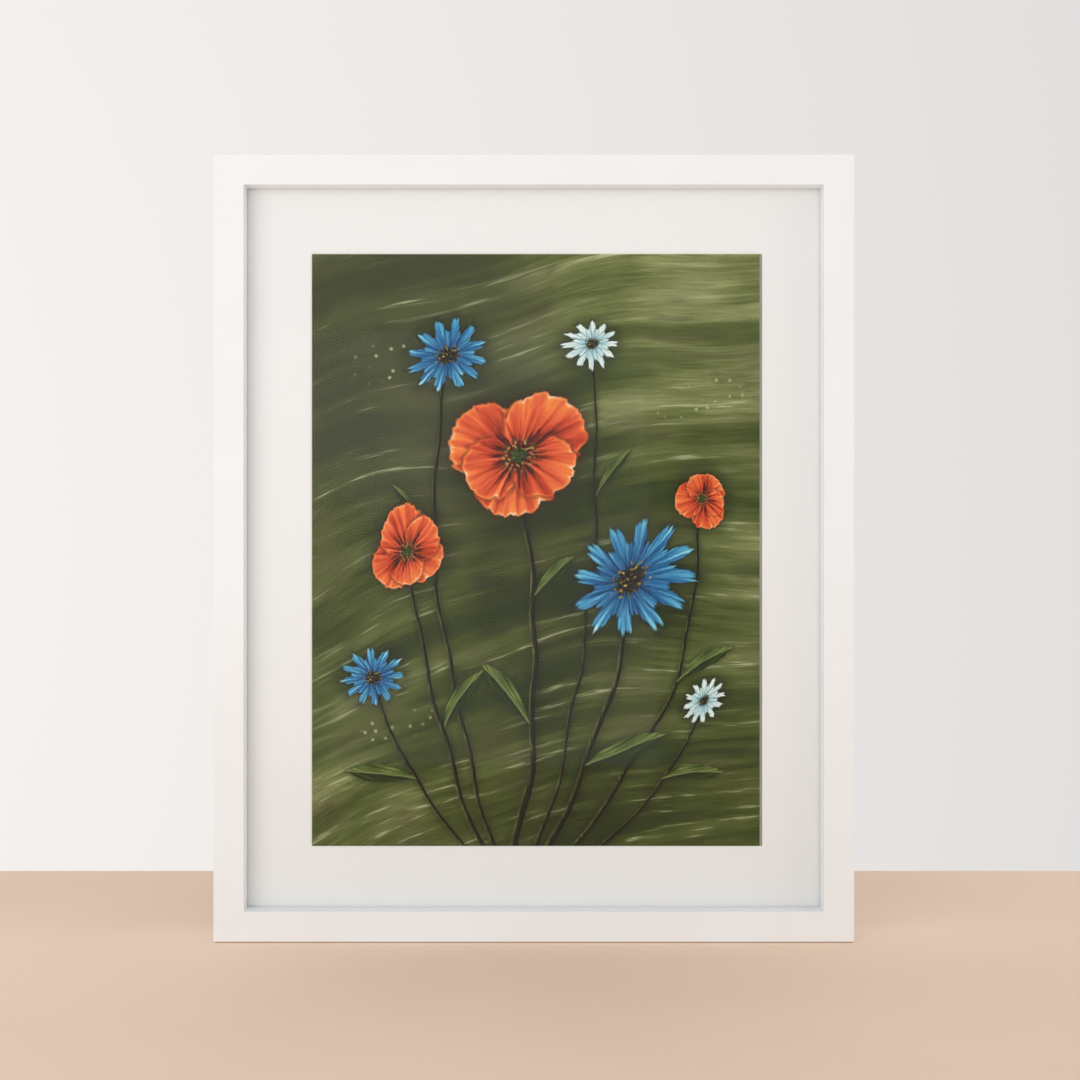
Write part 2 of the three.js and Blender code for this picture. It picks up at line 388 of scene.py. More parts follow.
    def principled(self, base: Value, rough: Value, normal: Field | None = None, **values: float) -> Field:
        """Adds the usual surface shader.

        Args:
            base: Its colour.
            rough: Its roughness.
            normal: Its normal, or None for the mesh's own.
            **values: Its other inputs, with spaces in their names written as underscores.

        Returns:
            The shader.
        """
        inputs = {"Base Color": base, "Roughness": rough}
        inputs |= {name.replace("_", " "): value for name, value in values.items()}
        if normal is not None:
            inputs["Normal"] = normal
        return self.node("ShaderNodeBsdfPrincipled", inputs)

    def use(self, stencil: "Stencil", **given: Value) -> dict[str, Field]:
        """Adds a stencil.

        Args:
            stencil: The stencil.
            **given: What each of its inputs reads or holds.

        Returns:
            Its outputs by name.
        """
        made = self.node("ShaderNodeGroup", given, node_tree=stencil.tree)
        return {socket.name: Field(self, socket) for socket in made.socket.node.outputs}


class Coat(Graph):
    """The node tree of a new material."""

    def __init__(self, name: str) -> None:
        """Starts an empty material.

        Args:
            name: The material's name.
        """
        self.material = bpy.data.materials.new(name)
        self.material.use_nodes = True
        super().__init__(self.material.node_tree)

    def finish(self, shader: Field) -> Material:
        """Closes the material.

        Args:
            shader: What the surface shows.

        Returns:
            The material.
        """
        output = self.tree.nodes.new("ShaderNodeOutputMaterial")
        self.tree.links.new(shader.socket, output.inputs["Surface"])
        return self.material


class Sky(Graph):
    """The node tree of the light from all round."""

    TINT = (1.01, 0.985, 0.965, 1)

    def __init__(self) -> None:
        """Starts a new world and makes it the scene's."""
        world = bpy.data.worlds.new("sky")
        world.use_nodes = True
        bpy.context.scene.world = world
        super().__init__(world.node_tree)

    def finish(self, strength: Field) -> None:
        """Closes the world.

        Args:
            strength: How bright the sky is each way.
        """
        output = self.tree.nodes.new("ShaderNodeOutputWorld")
        light = self.node("ShaderNodeBackground", {"Color": self.TINT, "Strength": strength})
        self.tree.links.new(light.socket, output.inputs["Surface"])


# Ties each layer's place to the last one's result, so that few values are held at once.
ORDER = (1e-9, 1e-9, 1e-9)


class Stencil(Graph):
    """A node group: the steps that many layers of paint share, each with sizes of its own."""

    SPOT = {"Place": "Vector", "At": "Vector", "Turn": "Vector", "Size": "Vector"}

    def __init__(self, name: str, **kinds: str) -> None:
        """Starts a group.

        Args:
            name: The group's name.
            **kinds: Each input's kind, Color, Vector or Float.
        """
        super().__init__(bpy.data.node_groups.new(name, "ShaderNodeTree"))
        for each, kind in kinds.items():
            self.tree.interface.new_socket(name=each, in_out="INPUT", socket_type=f"NodeSocket{kind}")
        self.source = self.tree.nodes.new("NodeGroupInput")

    def __getitem__(self, name: str) -> Field:
        """One of the group's inputs."""
        return Field(self, self.source.outputs[name])

    def own(self, after: str) -> Field:
        """Measures places from the spot that the SPOT inputs give.

        Args:
            after: The input that holds the last layer's result.

        Returns:
            The places in the spot's own unit.
        """
        place = self.vector("MULTIPLY_ADD", self[after], ORDER, self["Place"])
        return self.mapped(place, self["At"], self["Turn"], self["Size"])

    def close(self, **made: Field) -> "Stencil":
        """Gives the group its outputs.

        Args:
            **made: Each output's name and value.

        Returns:
            The stencil.
        """
        kinds = {"RGBA": "Color", "VECTOR": "Vector", "VALUE": "Float"}
        for name, value in made.items():
            kind = f"NodeSocket{kinds[value.socket.type]}"
            self.tree.interface.new_socket(name=name, in_out="OUTPUT", socket_type=kind)
        sink = self.tree.nodes.new("NodeGroupOutput")
        for name, value in made.items():
            self.tree.links.new(value.socket, sink.inputs[name])
        return self


# ---- Finishes ----------------------------------------------------------------------------------------


@dataclass(frozen=True)
class Finish(ABC):
    """A surface finish. Equal finishes share one material."""

    @property
    def name(self) -> str:
        """The material's name."""
        return type(self).__name__

    @abstractmethod
    def make(self, graph: Graph) -> Field:
        """Adds the finish's nodes.

        Args:
            graph: The graph to add them to.

        Returns:
            The shader.
        """


@dataclass(frozen=True)
class SatinPaint(Finish):
    """White satin lacquer, sprayed on smoothly sanded wood."""

    white: str = "f3f7fa"
    warm: str = "f2f5f7"
    roughness: float = 0.42
    cloud: float = 60 * MM
    gloss_cloud: float = 9 * MM
    ripple: float = 1.4 * MM
    ripple_depth: float = 0.0035 * MM

    def make(self, graph: Graph) -> Field:
        """Adds the lacquer's clouds, its uneven gloss and its fine ripple.

        Args:
            graph: The graph to add them to.

        Returns:
            The shader.
        """
        place = graph.place()
        clouds = graph.noise(place, self.cloud, detail=1.0)
        base = graph.mix(colour(self.white), colour(self.warm), clouds.step(0.35, 0.65))
        gloss = graph.noise(place, self.gloss_cloud, detail=1.0).scaled(0.10, self.roughness - 0.05)
        ripple = graph.noise(place, self.ripple, detail=1.0)
        return graph.principled(base, gloss, graph.bump(ripple, self.ripple_depth), Specular_IOR_Level=0.4)


@dataclass(frozen=True)
class PrimedWood(Finish):
    """The back of the moulding: one thin white coat that lets the grain of the rails show."""

    along: Axis = Axis.X
    coat: str = "ebe7e1"
    thin: str = "dcd3c6"
    pore: str = "b9aa97"
    roughness: float = 0.6
    grain: float = 0.55 * MM
    grain_length: float = 55 * MM
    pore_width: float = 0.22 * MM
    pore_length: float = 7 * MM
    depth: float = 0.03 * MM

    @property
    def name(self) -> str:
        """The material's name, with the way that the grain runs."""
        return f"PrimedWood{self.along.name}"

    def cells(self, long: float, short: float) -> tuple[float, float, float]:
        """The size of noise that is long along the grain and short across it."""
        return (long, short, short) if self.along is Axis.X else (short, short, long)

    def make(self, graph: Graph) -> Field:
        """Adds long grain and short pores.

        Args:
            graph: The graph to add them to.

        Returns:
            The shader.
        """
        place = graph.place()
        grain = graph.noise(place, self.cells(self.grain_length, self.grain), detail=4.0, rough=0.6)
        pore_cells = self.cells(self.pore_length, self.pore_width)
        pores = graph.noise(place, pore_cells, detail=1.0, seed=(0.3, 0.1, 0.7)).step(0.62, 0.72)
        base = graph.mix(colour(self.coat), colour(self.thin), grain.step(0.42, 0.7))
        base = graph.mix(base, colour(self.pore), pores * 0.35)
        height = grain.scaled(0.7, 0.0) - pores * 0.6
        gloss = grain.scaled(0.12, self.roughness - 0.06)
        return graph.principled(base, gloss, graph.bump(height, self.depth), Specular_IOR_Level=0.35)


@dataclass(frozen=True)
class ClearPane(Finish):
    """A clear sheet with a coating that keeps reflections faint."""

    mirrored: float = 0.15
    index: float = 1.5
    blur: float = 0.03
    tint: Colour = (0.995, 1.0, 0.997, 1.0)

    def make(self, graph: Graph) -> Field:
        """Adds a see-through shader with a faint mirror that grows at a slant.

        Args:
            graph: The graph to add them to.

        Returns:
            The shader.
        """
        fresnel = graph.node("ShaderNodeFresnel", {"IOR": self.index})
        clear = graph.node("ShaderNodeBsdfTransparent", {"Color": self.tint})
        mirror = graph.node("ShaderNodeBsdfAnisotropic", {"Color": (1, 1, 1, 1), "Roughness": self.blur})
        share = fresnel * self.mirrored
        return Field(graph, graph.ordered("ShaderNodeMixShader", share, clear, mirror).outputs[0])


@dataclass(frozen=True)
class MatPaper(Finish):
    """The toothed white paper that faces the mat board."""

    white: str = "f8f8fa"
    shade: str = "f2f2f4"
    strand: str = "e4e3df"
    tooth: float = 0.5 * MM
    felt: tuple[float, float, float] = (2.6 * MM, 1.0 * MM, 1.1 * MM)
    fibre: tuple[float, float, float] = (1.6 * MM, 1.0 * MM, 0.16 * MM)
    depth: float = 0.045 * MM

    def make(self, graph: Graph) -> Field:
        """Adds the felt's tooth, stray fibres and a barely uneven white.

        Args:
            graph: The graph to add them to.

        Returns:
            The shader.
        """
        place = graph.place()
        tooth = graph.noise(place, self.tooth, detail=2.0, rough=0.7)
        felt = graph.noise(place, self.felt, detail=1.0)
        strands = graph.noise(place, self.fibre, detail=1.0, seed=(0.2, 0, 0.4)).step(0.66, 0.74)
        base = graph.mix(colour(self.white), colour(self.shade), tooth.step(0.36, 0.64))
        base = graph.mix(base, colour(self.strand), strands * 0.25)
        height = tooth * 0.6 + felt * 0.4
        return graph.principled(base, 0.92, graph.bump(height, self.depth), Specular_IOR_Level=0.2)


@dataclass(frozen=True)
class MatCore(Finish):
    """The bright pulp core that a bevelled cut in the mat board lays open."""

    white: str = "ffffff"
    shade: str = "fcfcfb"
    layer: tuple[float, float, float] = (6 * MM, 0.12 * MM, 6 * MM)
    pulp: float = 0.2 * MM
    depth: float = 0.02 * MM

    def make(self, graph: Graph) -> Field:
        """Adds the pulp's faint layers and a fine roughness.

        Args:
            graph: The graph to add them to.

        Returns:
            The shader.
        """
        place = graph.place()
        layers = graph.noise(place, self.layer, detail=2.0)
        base = graph.mix(colour(self.white), colour(self.shade), layers.step(0.4, 0.7))
        pulp = graph.noise(place, self.pulp, detail=2.0)
        height = layers * 0.5 + pulp
        return graph.principled(base, 0.9, graph.bump(height, self.depth), Specular_IOR_Level=0.2)


@dataclass(frozen=True)
class BoardPaper(Finish):
    """Pressed board of waste paper or wood fibre, in one tone with flecks of two others."""

    label: str
    base: str
    dark: str
    light: str
    fleck: float = 1.3 * MM
    cloud: float = 22 * MM
    tooth: float = 0.45 * MM
    depth: float = 0.03 * MM
    roughness: float = 0.9

    @property
    def name(self) -> str:
        """The material's name."""
        return self.label

    def make(self, graph: Graph) -> Field:
        """Adds clouds of tone, dark and light flecks of fibre, and a pressed tooth.

        Args:
            graph: The graph to add them to.

        Returns:
            The shader.
        """
        place = graph.place()
        long, wide, thin = self.fleck * 3, self.fleck, self.fleck * 0.35
        clouds = graph.noise(place, self.cloud, detail=4.0, rough=0.6)
        across = graph.noise(place, (long, wide, thin), detail=2.0)
        upright = graph.noise(place, (thin, wide, long), detail=2.0, seed=(0.5, 0.2, 0.1))
        tooth = graph.noise(place, self.tooth, detail=3.0, rough=0.6)
        tone = graph.mix(colour(self.base), colour(self.dark), clouds.step(0.4, 0.75) * 0.35)
        tone = graph.mix(tone, colour(self.dark), across.step(0.6, 0.7) * 0.6)
        tone = graph.mix(tone, colour(self.light), upright.step(0.6, 0.72) * 0.55)
        tone = graph.mix(tone, colour(self.dark), tooth.step(0.55, 0.75) * 0.3)
        height = tooth * 0.7 + across * 0.3
        return graph.principled(tone, self.roughness, graph.bump(height, self.depth), Specular_IOR_Level=0.25)


@dataclass(frozen=True)
class BrushedPlate(Finish):
    """Sheet metal with bright plating over the brush marks of its strip."""

    label: str
    base: str
    tint: str
    roughness: float
    brush: float = 0.10 * MM
    streak: float = 9 * MM
    cloud: float = 3.5 * MM
    rub: float = 1.1 * MM
    depth: float = 0.006 * MM
    mark: str = "8f8c86"

    @property
    def name(self) -> str:
        """The material's name."""
        return self.label

    def make(self, graph: Graph) -> Field:
        """Adds brush marks, clouds in the plating and a few rubbed spots.

        Args:
            graph: The graph to add them to.

        Returns:
            The shader.
        """
        place = graph.place()
        marks = graph.noise(place, (self.streak, self.brush * 2, self.brush), detail=2.0, rough=0.6)
        clouds = graph.noise(place, self.cloud, detail=3.0)
        rubbed = graph.noise(place, self.rub, detail=3.0, seed=(0.1, 0.9, 0.4)).step(0.58, 0.75)
        tone = graph.mix(colour(self.base), colour(self.tint), clouds.step(0.35, 0.7))
        tone = graph.mix(tone, colour(self.mark), marks.step(0.55, 0.8) * 0.3)
        gloss = rubbed * 0.16 + marks.scaled(0.14, self.roughness - 0.07)
        return graph.principled(tone, gloss, graph.bump(marks, self.depth), Metallic=1.0)


@dataclass(frozen=True)
class SoftRubber(Finish):
    """Cloudy white rubber, soft enough to pick up a little dust."""

    white: str = "e6e4de"
    warm: str = "d9d6ce"
    speck: str = "a8a298"
    cloud: float = 2.5 * MM
    dust: float = 0.3 * MM
    skin: float = 0.5 * MM
    depth: float = 0.01 * MM

    def make(self, graph: Graph) -> Field:
        """Adds clouds, specks of dust and a fine skin.

        Args:
            graph: The graph to add them to.

        Returns:
            The shader.
        """
        place = graph.place()
        clouds = graph.noise(place, self.cloud, detail=2.0)
        dust = graph.noise(place, self.dust, detail=2.0).step(0.66, 0.72)
        base = graph.mix(colour(self.white), colour(self.warm), clouds.step(0.35, 0.65))
        base = graph.mix(base, colour(self.speck), dust * 0.4)
        skin = graph.noise(place, self.skin, detail=2.0)
        return graph.principled(base, dust.scaled(0.25, 0.42), graph.bump(skin, self.depth))


@dataclass(frozen=True)
class PaleGround(Finish):
    """The plain pale floor under the picture."""

    tone: str = "fce2cc"
    shade: str = "f8dec7"
    cloud: float = 0.25

    def make(self, graph: Graph) -> Field:
        """Adds a barely uneven tone.

        Args:
            graph: The graph to add them to.

        Returns:
            The shader.
        """
        clouds = graph.noise(graph.place(), self.cloud, detail=2.0)
        base = graph.mix(colour(self.tone), colour(self.shade), clouds.step(0.3, 0.7))
        return graph.principled(base, 0.7, Specular_IOR_Level=0.3)


# ---- The painting ------------------------------------------------------------------------------------
# Lengths on the sheet are in millimetres from the middle of the mat's window, X to the right and Y up.


class Tones(Enum):
    """The painting's runs of colour, from shadow to highlight."""

    MEADOW = ((0.0, "262c10"), (0.2, "373f18"), (0.36, "4b5522"), (0.52, "5f6937"), (0.68, "7c8350"),
              (0.82, "979e6b"), (0.93, "b2b885"), (1.0, "c8cea0"))
    POPPY = ((0.0, "3d0f08"), (0.18, "86260f"), (0.4, "c9421f"), (0.6, "e8673a"), (0.78, "f58a3c"),
             (0.92, "fbb47c"), (1.0, "ffdcb8"))
    CORN = ((0.0, "07162b"), (0.22, "0f3a63"), (0.45, "1c5f97"), (0.65, "3c86b8"), (0.82, "67bddd"),
            (0.94, "a5e2ee"), (1.0, "e2f7fa"))
    FROST = ((0.0, "2f5563"), (0.3, "7fb6c4"), (0.55, "c3e2e6"), (0.8, "f0f7f5"), (1.0, "ffffff"))
    LEAF = ((0.0, "10150a"), (0.3, "263314"), (0.55, "40521f"), (0.78, "6b7d3c"), (1.0, "a9b578"))
    STALK = ((0.0, "0e0c07"), (0.45, "1d1810"), (0.75, "38361c"), (1.0, "75793f"))
    EYE = ((0.0, "0b0a08"), (0.5, "2a2414"), (0.8, "7a6a2e"), (1.0, "d9c87a"))


class Wash(Enum):
    """The single colours that the painting lays over its runs."""

    EARTH = "4b4128"
    HOLLOW = "2f4415"
    HAZE = "4f523e"
    SHINE = "c2cba0"
    DOT = "b9c28c"
    STALK_SHADE = "12110a"
    LEAF_SHADE = "0f140a"
    LEAF_RIB = "97a362"
    FLOWER_SHADE = "0d1309"
    RING_SHADE = "081018"
    PETAL_SHADE = "3a0d06"
    BLOTCH = "1a0806"
    STAMEN = "c9b45e"

    @property
    def linear(self) -> Colour:
        """The wash as the linear colour that shaders take."""
        return colour(self.value)


@dataclass(frozen=True)
class Spot:
    """Where a motif lies: its centre, its turn in radians and the length of its unit along each axis."""

    centre: Place
    turn: float
    size: Place


@dataclass(frozen=True)
class Stalk:
    """A bowed flower stalk that rises from the foot of the sheet."""

    foot: float
    head: Place
    bow: float
    wide: float = 1.5
    start: float = -215.0

    def at(self, share: float) -> Place:
        """The stalk's place at a share of its rise."""
        across = self.foot + (self.head[0] - self.foot) * share + 4 * self.bow * share * (1 - share)
        return across, self.start + (self.head[1] - self.start) * share

    def lean(self, share: float) -> float:
        """The stalk's own angle from the X axis there, in radians."""
        before, after = self.at(share - 0.01), self.at(share + 0.01)
        return math.atan2(after[1] - before[1], after[0] - before[0])

    def leaf(self, share: float, spread: float, length: float, width: float) -> Spot:
        """Sets a leaf on the stalk.

        Args:
            share: How far up it sits.
            spread: How far it turns away from the stalk, in radians.
            length: Its length.
            width: Its width.

        Returns:
            The leaf's spot, with its unit's middle halfway along it.
        """
        turn, (x, y) = self.lean(share) + spread, self.at(share)
        middle = (x + length / 2 * math.cos(turn), y + length / 2 * math.sin(turn))
        return Spot(middle, turn, (length, math.copysign(width, -spread)))


def flower(x: float, y: float, radius: float, turn: float, squash: float) -> Spot:
    """The spot of a flower whose unit is its radius."""
    return Spot((x, y), turn, (radius, radius * squash))


@dataclass(frozen=True)
class Meadow:
    """The painting's layout: wild flowers in front of a brushed meadow."""

    sweep: Place = (170.0, -780.0)
    haze: Spot = Spot((-100, 130), 0.0, (170, 150))
    light: tuple[tuple[Spot, float], ...] = (
        (Spot((120, 170), 0.2, (230, 130)), 0.40),
        (Spot((170, -10), 0.2, (130, 100)), 0.20),
        (Spot((-150, -150), 0.3, (120, 60)), 0.16),
        (Spot((-150, 110), 0.0, (130, 170)), -0.10),
        (Spot((0, -40), 0.0, (110, 170)), -0.16),
        (Spot((60, -210), 0.0, (240, 110)), -0.14),
    )
    dots: tuple[Spot, ...] = (
        Spot((-104, 128), 0.3, (44, 20)),
        Spot((112, 104), 0.2, (50, 20)),
        Spot((-96, -120), 0.3, (44, 16)),
    )
    stalks: tuple[Stalk, ...] = (
        Stalk(-16, (-12, 58), 12, 2.1),
        Stalk(-30, (-84, -2), -12, 1.7),
        Stalk(-22, (-62, 128), -22, 1.3),
        Stalk(2, (66, -26), 8, 1.9),
        Stalk(-40, (-112, -92), -8, 1.2),
        Stalk(12, (110, 26), 26, 1.4),
        Stalk(-4, (34, 136), 20, 1.2),
        Stalk(22, (112, -108), 12, 1.2),
    )
    poppies: tuple[Spot, ...] = (
        flower(-12, 64, 50, 0.2, 0.92),
        flower(-86, 2, 32, 1.35, 0.82),
        flower(112, 34, 20, 2.6, 0.9),
    )
    petals: tuple[tuple[float, float, float], ...] = (
        (2.5, 1.0, 1.25), (0.7, 0.98, 1.2), (4.4, 0.86, 1.3), (3.4, 0.8, 1.1), (5.6, 0.78, 1.15),
    )
    corn: tuple[Spot, ...] = (
        flower(-62, 134, 27, 0.1, 0.9),
        flower(66, -18, 44, 0.7, 0.88),
        flower(-113, -88, 22, 0.4, 0.8),
    )
    frost: tuple[Spot, ...] = (
        flower(34, 140, 19, 0.3, 0.85),
        flower(112, -104, 18, 0.9, 0.8),
    )

    @property
    def leaves(self) -> list[Spot]:
        """The leaves, stalk by stalk.

        Returns:
            Their spots.
        """
        stalks = self.stalks
        return [
            stalks[0].leaf(0.34, 0.62, 60, 9.0),
            stalks[0].leaf(0.66, -0.62, 40, 6.0),
            stalks[1].leaf(0.42, -0.70, 52, 8.0),
            stalks[2].leaf(0.66, 0.60, 44, 4.5),
            stalks[3].leaf(0.36, -0.70, 58, 9.0),
            stalks[4].leaf(0.48, 0.75, 46, 7.0),
            stalks[5].leaf(0.52, -0.60, 52, 6.5),
            stalks[6].leaf(0.72, -0.55, 40, 4.5),
            stalks[7].leaf(0.55, -0.65, 44, 6.0),
        ]


FLAT = (1.0, 1.0, 0.0)  # leaves a spot's key out of a place


class Stencils:
    """The steps that many layers of paint share."""

    @cached_property
    def pick(self) -> Stencil:
        """Measures from a spot, where it is nearer than the nearest so far. Z holds the spot's key.

        Returns:
            The stencil.
        """
        group = Stencil("pick", Own="Vector", Best="Float", **Stencil.SPOT)
        own = group.own(after="Own")
        far = group.vector("LENGTH", group.vector("MULTIPLY", own, FLAT))
        nearer = group.math("LESS_THAN", far, group["Best"])
        kept = group.node(
            "ShaderNodeMix",
            {"Factor_Float": nearer, "A_Vector": group["Own"], "B_Vector": own},
            data_type="VECTOR",
        )
        return group.close(Own=kept, Best=group.math("MINIMUM", far, group["Best"]))

    @cached_property
    def stalk(self) -> Stencil:
        """A dark tapering stroke with a lit side. Its own Y runs from 0 at the foot to 1 at the head.

        Returns:
            The stencil.
        """
        group = Stencil("stalk", Paint="Color", **Stencil.SPOT, Bow="Float", Thick="Float", Grain="Float")
        own = group.own(after="Paint")
        share = own.part("Y")
        middle = group.math("MULTIPLY", share * (1.0 - share), group["Bow"])
        off = (own.part("X") - middle) / (group["Thick"] * share.scaled(-0.45, 1.2))
        ends = share.step(1.03, 0.99)
        paint = group.mix(group["Paint"], Wash.STALK_SHADE.linear, abs(off).step(4.5, 0.8) * ends * 0.35)
        mask = abs(off).step(1.15, 0.75) * ends
        tone = off.scaled(-0.42, 0.05) + group["Grain"].scaled(0.9, 0.0)
        return group.close(Paint=group.mix(paint, group.ramp(tone, Tones.STALK.value), mask))

    @cached_property
    def petal(self) -> Stencil:
        """One broad petal with folds and a light rim, over its own shadow.

        Returns:
            The stencil.
        """
        group = Stencil("petal", Paint="Color", **Stencil.SPOT, Folds="Float")
        own = group.own(after="Paint")
        rim = group.vector("LENGTH", own) + group["Folds"].scaled(0.36, -0.18)
        tone = own.part("X").scaled(0.26, 0.44) + group["Folds"].scaled(1.0, -0.5) + own.part("Y") * 0.10
        tone = tone + rim.step(0.86, 0.98) * 0.2
        paint = group.mix(group["Paint"], Wash.PETAL_SHADE.linear, rim.step(1.22, 0.98) * 0.55)
        return group.close(Paint=group.mix(paint, group.ramp(tone, Tones.POPPY.value), rim.step(1.02, 0.95)))


@dataclass(frozen=True)
class Painting(Finish):
    """A print of a loosely brushed meadow with wild flowers, on toothed art paper."""

    middle: tuple[float, float, float]
    layout: Meadow = field(default_factory=Meadow)

    def make(self, graph: Graph) -> Field:
        """Paints from the back to the front, then lays the paper's tooth over it all.

        Args:
            graph: The graph to add them to.

        Returns:
            The shader.
        """
        upright = graph.mapped(graph.place(), at=self.middle, size=(MM, MM, MM))
        sheet = graph.mapped(upright, turn=(-math.pi / 2, 0, 0), size=(1, 0, 1), kind="POINT")
        stencils = Stencils()
        place = self.by_hand(graph, sheet)
        paint = self.ground(graph, sheet)
        paint = self.stalks(graph, stencils, place, paint)
        paint = self.leaves(graph, stencils, place, paint)
        paint = self.rosettes(graph, stencils, place, paint)
        paint = self.poppies(graph, stencils, place, paint)
        tooth = graph.noise(sheet, 1.3, detail=2.0, rough=0.7, flat=True, seed=(9, 9, 0))
        tone = tooth.scaled(0.62, 0.69)
        grey = graph.node("ShaderNodeCombineColor", {"Red": tone, "Green": tone, "Blue": tone})
        paint = graph.mix(paint, grey, 1.0, "MULTIPLY")
        return graph.principled(paint, 0.7, graph.bump(tooth, 0.025 * MM), Specular_IOR_Level=0.2)

    @staticmethod
    def by_hand(graph: Graph, sheet: Field) -> Field:
        """Gives places a hand's wobble, so that no edge is quite true.

        Args:
            graph: The graph.
            sheet: Places on the sheet.

        Returns:
            The wobbled places.
        """
        slow = graph.noise(sheet, 60.0, detail=0.0, flat=True, out="Color")
        quick = graph.noise(sheet, 3.0, detail=1.0, flat=True, out="Color")
        swing = graph.vector("MULTIPLY_ADD", slow, (10.0, 10.0, 0.0), (-5.6, -5.6, 0.0))
        shake = graph.vector("MULTIPLY_ADD", quick, (1.2, 1.2, 0.0), swing)
        return graph.vector("ADD", sheet, shake)

    @staticmethod
    def glow(graph: Graph, sheet: Field, spot: Spot) -> Field:
        """A soft pool that is 1 at its centre and 0 outside."""
        own = graph.mapped(sheet, at=(*spot.centre, 0), turn=(0, 0, spot.turn), size=(*spot.size, 1))
        return graph.vector("LENGTH", own).step(1.0, 0.0)

    def ground(self, graph: Graph, sheet: Field) -> Field:
        """Brushes the meadow in long arcs.

        Args:
            graph: The graph.
            sheet: Places on the sheet.

        Returns:
            The ground's colour.
        """
        bend = graph.noise(sheet, 150.0, detail=0.0, flat=True)
        from_hub = graph.vector("SUBTRACT", sheet, (*self.layout.sweep, 0))
        turn = graph.math("ARCTAN2", from_hub.part("Y"), from_hub.part("X"))
        reach = graph.vector("LENGTH", from_hub) + bend * 34.0
        flow = graph.node("ShaderNodeCombineXYZ", {"X": reach, "Y": turn * 680.0, "Z": 0.0})
        sweeps = graph.noise(flow, (24.0, 210.0, 1.0), detail=3.0, flat=True)
        strokes = graph.noise(flow, (4.5, 60.0, 1.0), detail=2.0, rough=0.6, flat=True, seed=(31, 7, 0))
        bristle = graph.noise(flow, (0.9, 16.0, 1.0), detail=1.0, rough=0.6, flat=True, seed=(5, 90, 0))
        patches = graph.noise(sheet, 60.0, detail=2.0, flat=True, seed=(12, 40, 0))
        tone = sweeps.scaled(0.95, -0.19) + strokes.scaled(0.46, -0.23) + bristle.scaled(0.22, -0.11)
        tone = tone + patches.scaled(0.5, -0.16)
        for spot, lift in self.layout.light:
            tone = self.glow(graph, sheet, spot).scaled(lift, tone)
        paint = graph.ramp(tone, Tones.MEADOW.value)
        brown = patches.step(0.5, 0.66) * strokes.step(0.38, 0.6)
        paint = graph.mix(paint, Wash.EARTH.linear, brown * 0.55)
        paint = graph.mix(paint, Wash.HOLLOW.linear, sweeps.step(0.48, 0.34) * 0.35)
        haze = self.glow(graph, sheet, self.layout.haze)
        paint = graph.mix(paint, Wash.HAZE.linear, haze.step(0.0, 0.5) * 0.55)
        shine = strokes.step(0.60, 0.70) * sweeps.step(0.46, 0.62) * bristle.step(0.36, 0.6)
        paint = graph.mix(paint, Wash.SHINE.linear, shine * 0.6)
        return graph.mix(paint, Wash.DOT.linear, self.dots(graph, sheet))

    def dots(self, graph: Graph, sheet: Field) -> Field:
        """Dabs clusters of soft pale dots.

        Args:
            graph: The graph.
            sheet: Places on the sheet.

        Returns:
            How much of the dots' colour shows.
        """
        cells = graph.node(
            "ShaderNodeTexVoronoi",
            {"Vector": sheet, "Scale": 1 / 8.5, "Randomness": 0.9},
            out="Distance",
            voronoi_dimensions="2D",
        )
        lit = graph.noise(sheet, 11.0, detail=0.0, flat=True, seed=(77, 3, 0)).step(0.46, 0.56)
        where: Value = 0.0
        for spot in self.layout.dots:
            where = self.glow(graph, sheet, spot) + where
        return cells.step(0.17, 0.10) * lit * where.step(0.1, 0.5) * 0.7

    @staticmethod
    def nearest(
        graph: Graph, stencils: Stencils, place: Field, spots: Mapping[float, Spot]
    ) -> tuple[Field, Field]:
        """Measures from the nearest of several spots, each in its own unit.

        Args:
            graph: The graph.
            stencils: The stencils.
            place: Places with the hand's wobble.
            spots: The spots by key.

        Returns:
            The places from the nearest spot, with its key as their Z, and how far off it is.
        """
        made: Mapping[str, Value] = {"Own": (9.0, 9.0, 0.0), "Best": 9.0}
        for key, spot in spots.items():
            made = graph.use(stencils.pick, Own=made["Own"], Best=made["Best"], Place=place,
                             At=(*spot.centre, -key), Turn=(0, 0, spot.turn), Size=(*spot.size, 1))
        return made["Own"], made["Best"]

    def stalks(self, graph: Graph, stencils: Stencils, place: Field, paint: Field) -> Field:
        """Draws the stalks.

        Args:
            graph: The graph.
            stencils: The stencils.
            place: Places with the hand's wobble.
            paint: The paint so far.

        Returns:
            The paint with them on it.
        """
        grain = graph.noise(place, (1.2, 14.0, 1.0), detail=2.0, flat=True)
        for stalk in self.layout.stalks:
            rise = stalk.head[1] - stalk.start
            lean = (stalk.head[0] - stalk.foot) / rise
            paint = graph.use(
                stencils.stalk, Paint=paint, Place=place, At=(stalk.foot, stalk.start, 0),
                Turn=(0, 0, -math.atan(lean)), Size=(1, math.hypot(rise, stalk.head[0] - stalk.foot), 1),
                Bow=4 * stalk.bow, Thick=stalk.wide, Grain=grain,
            )["Paint"]
        return paint

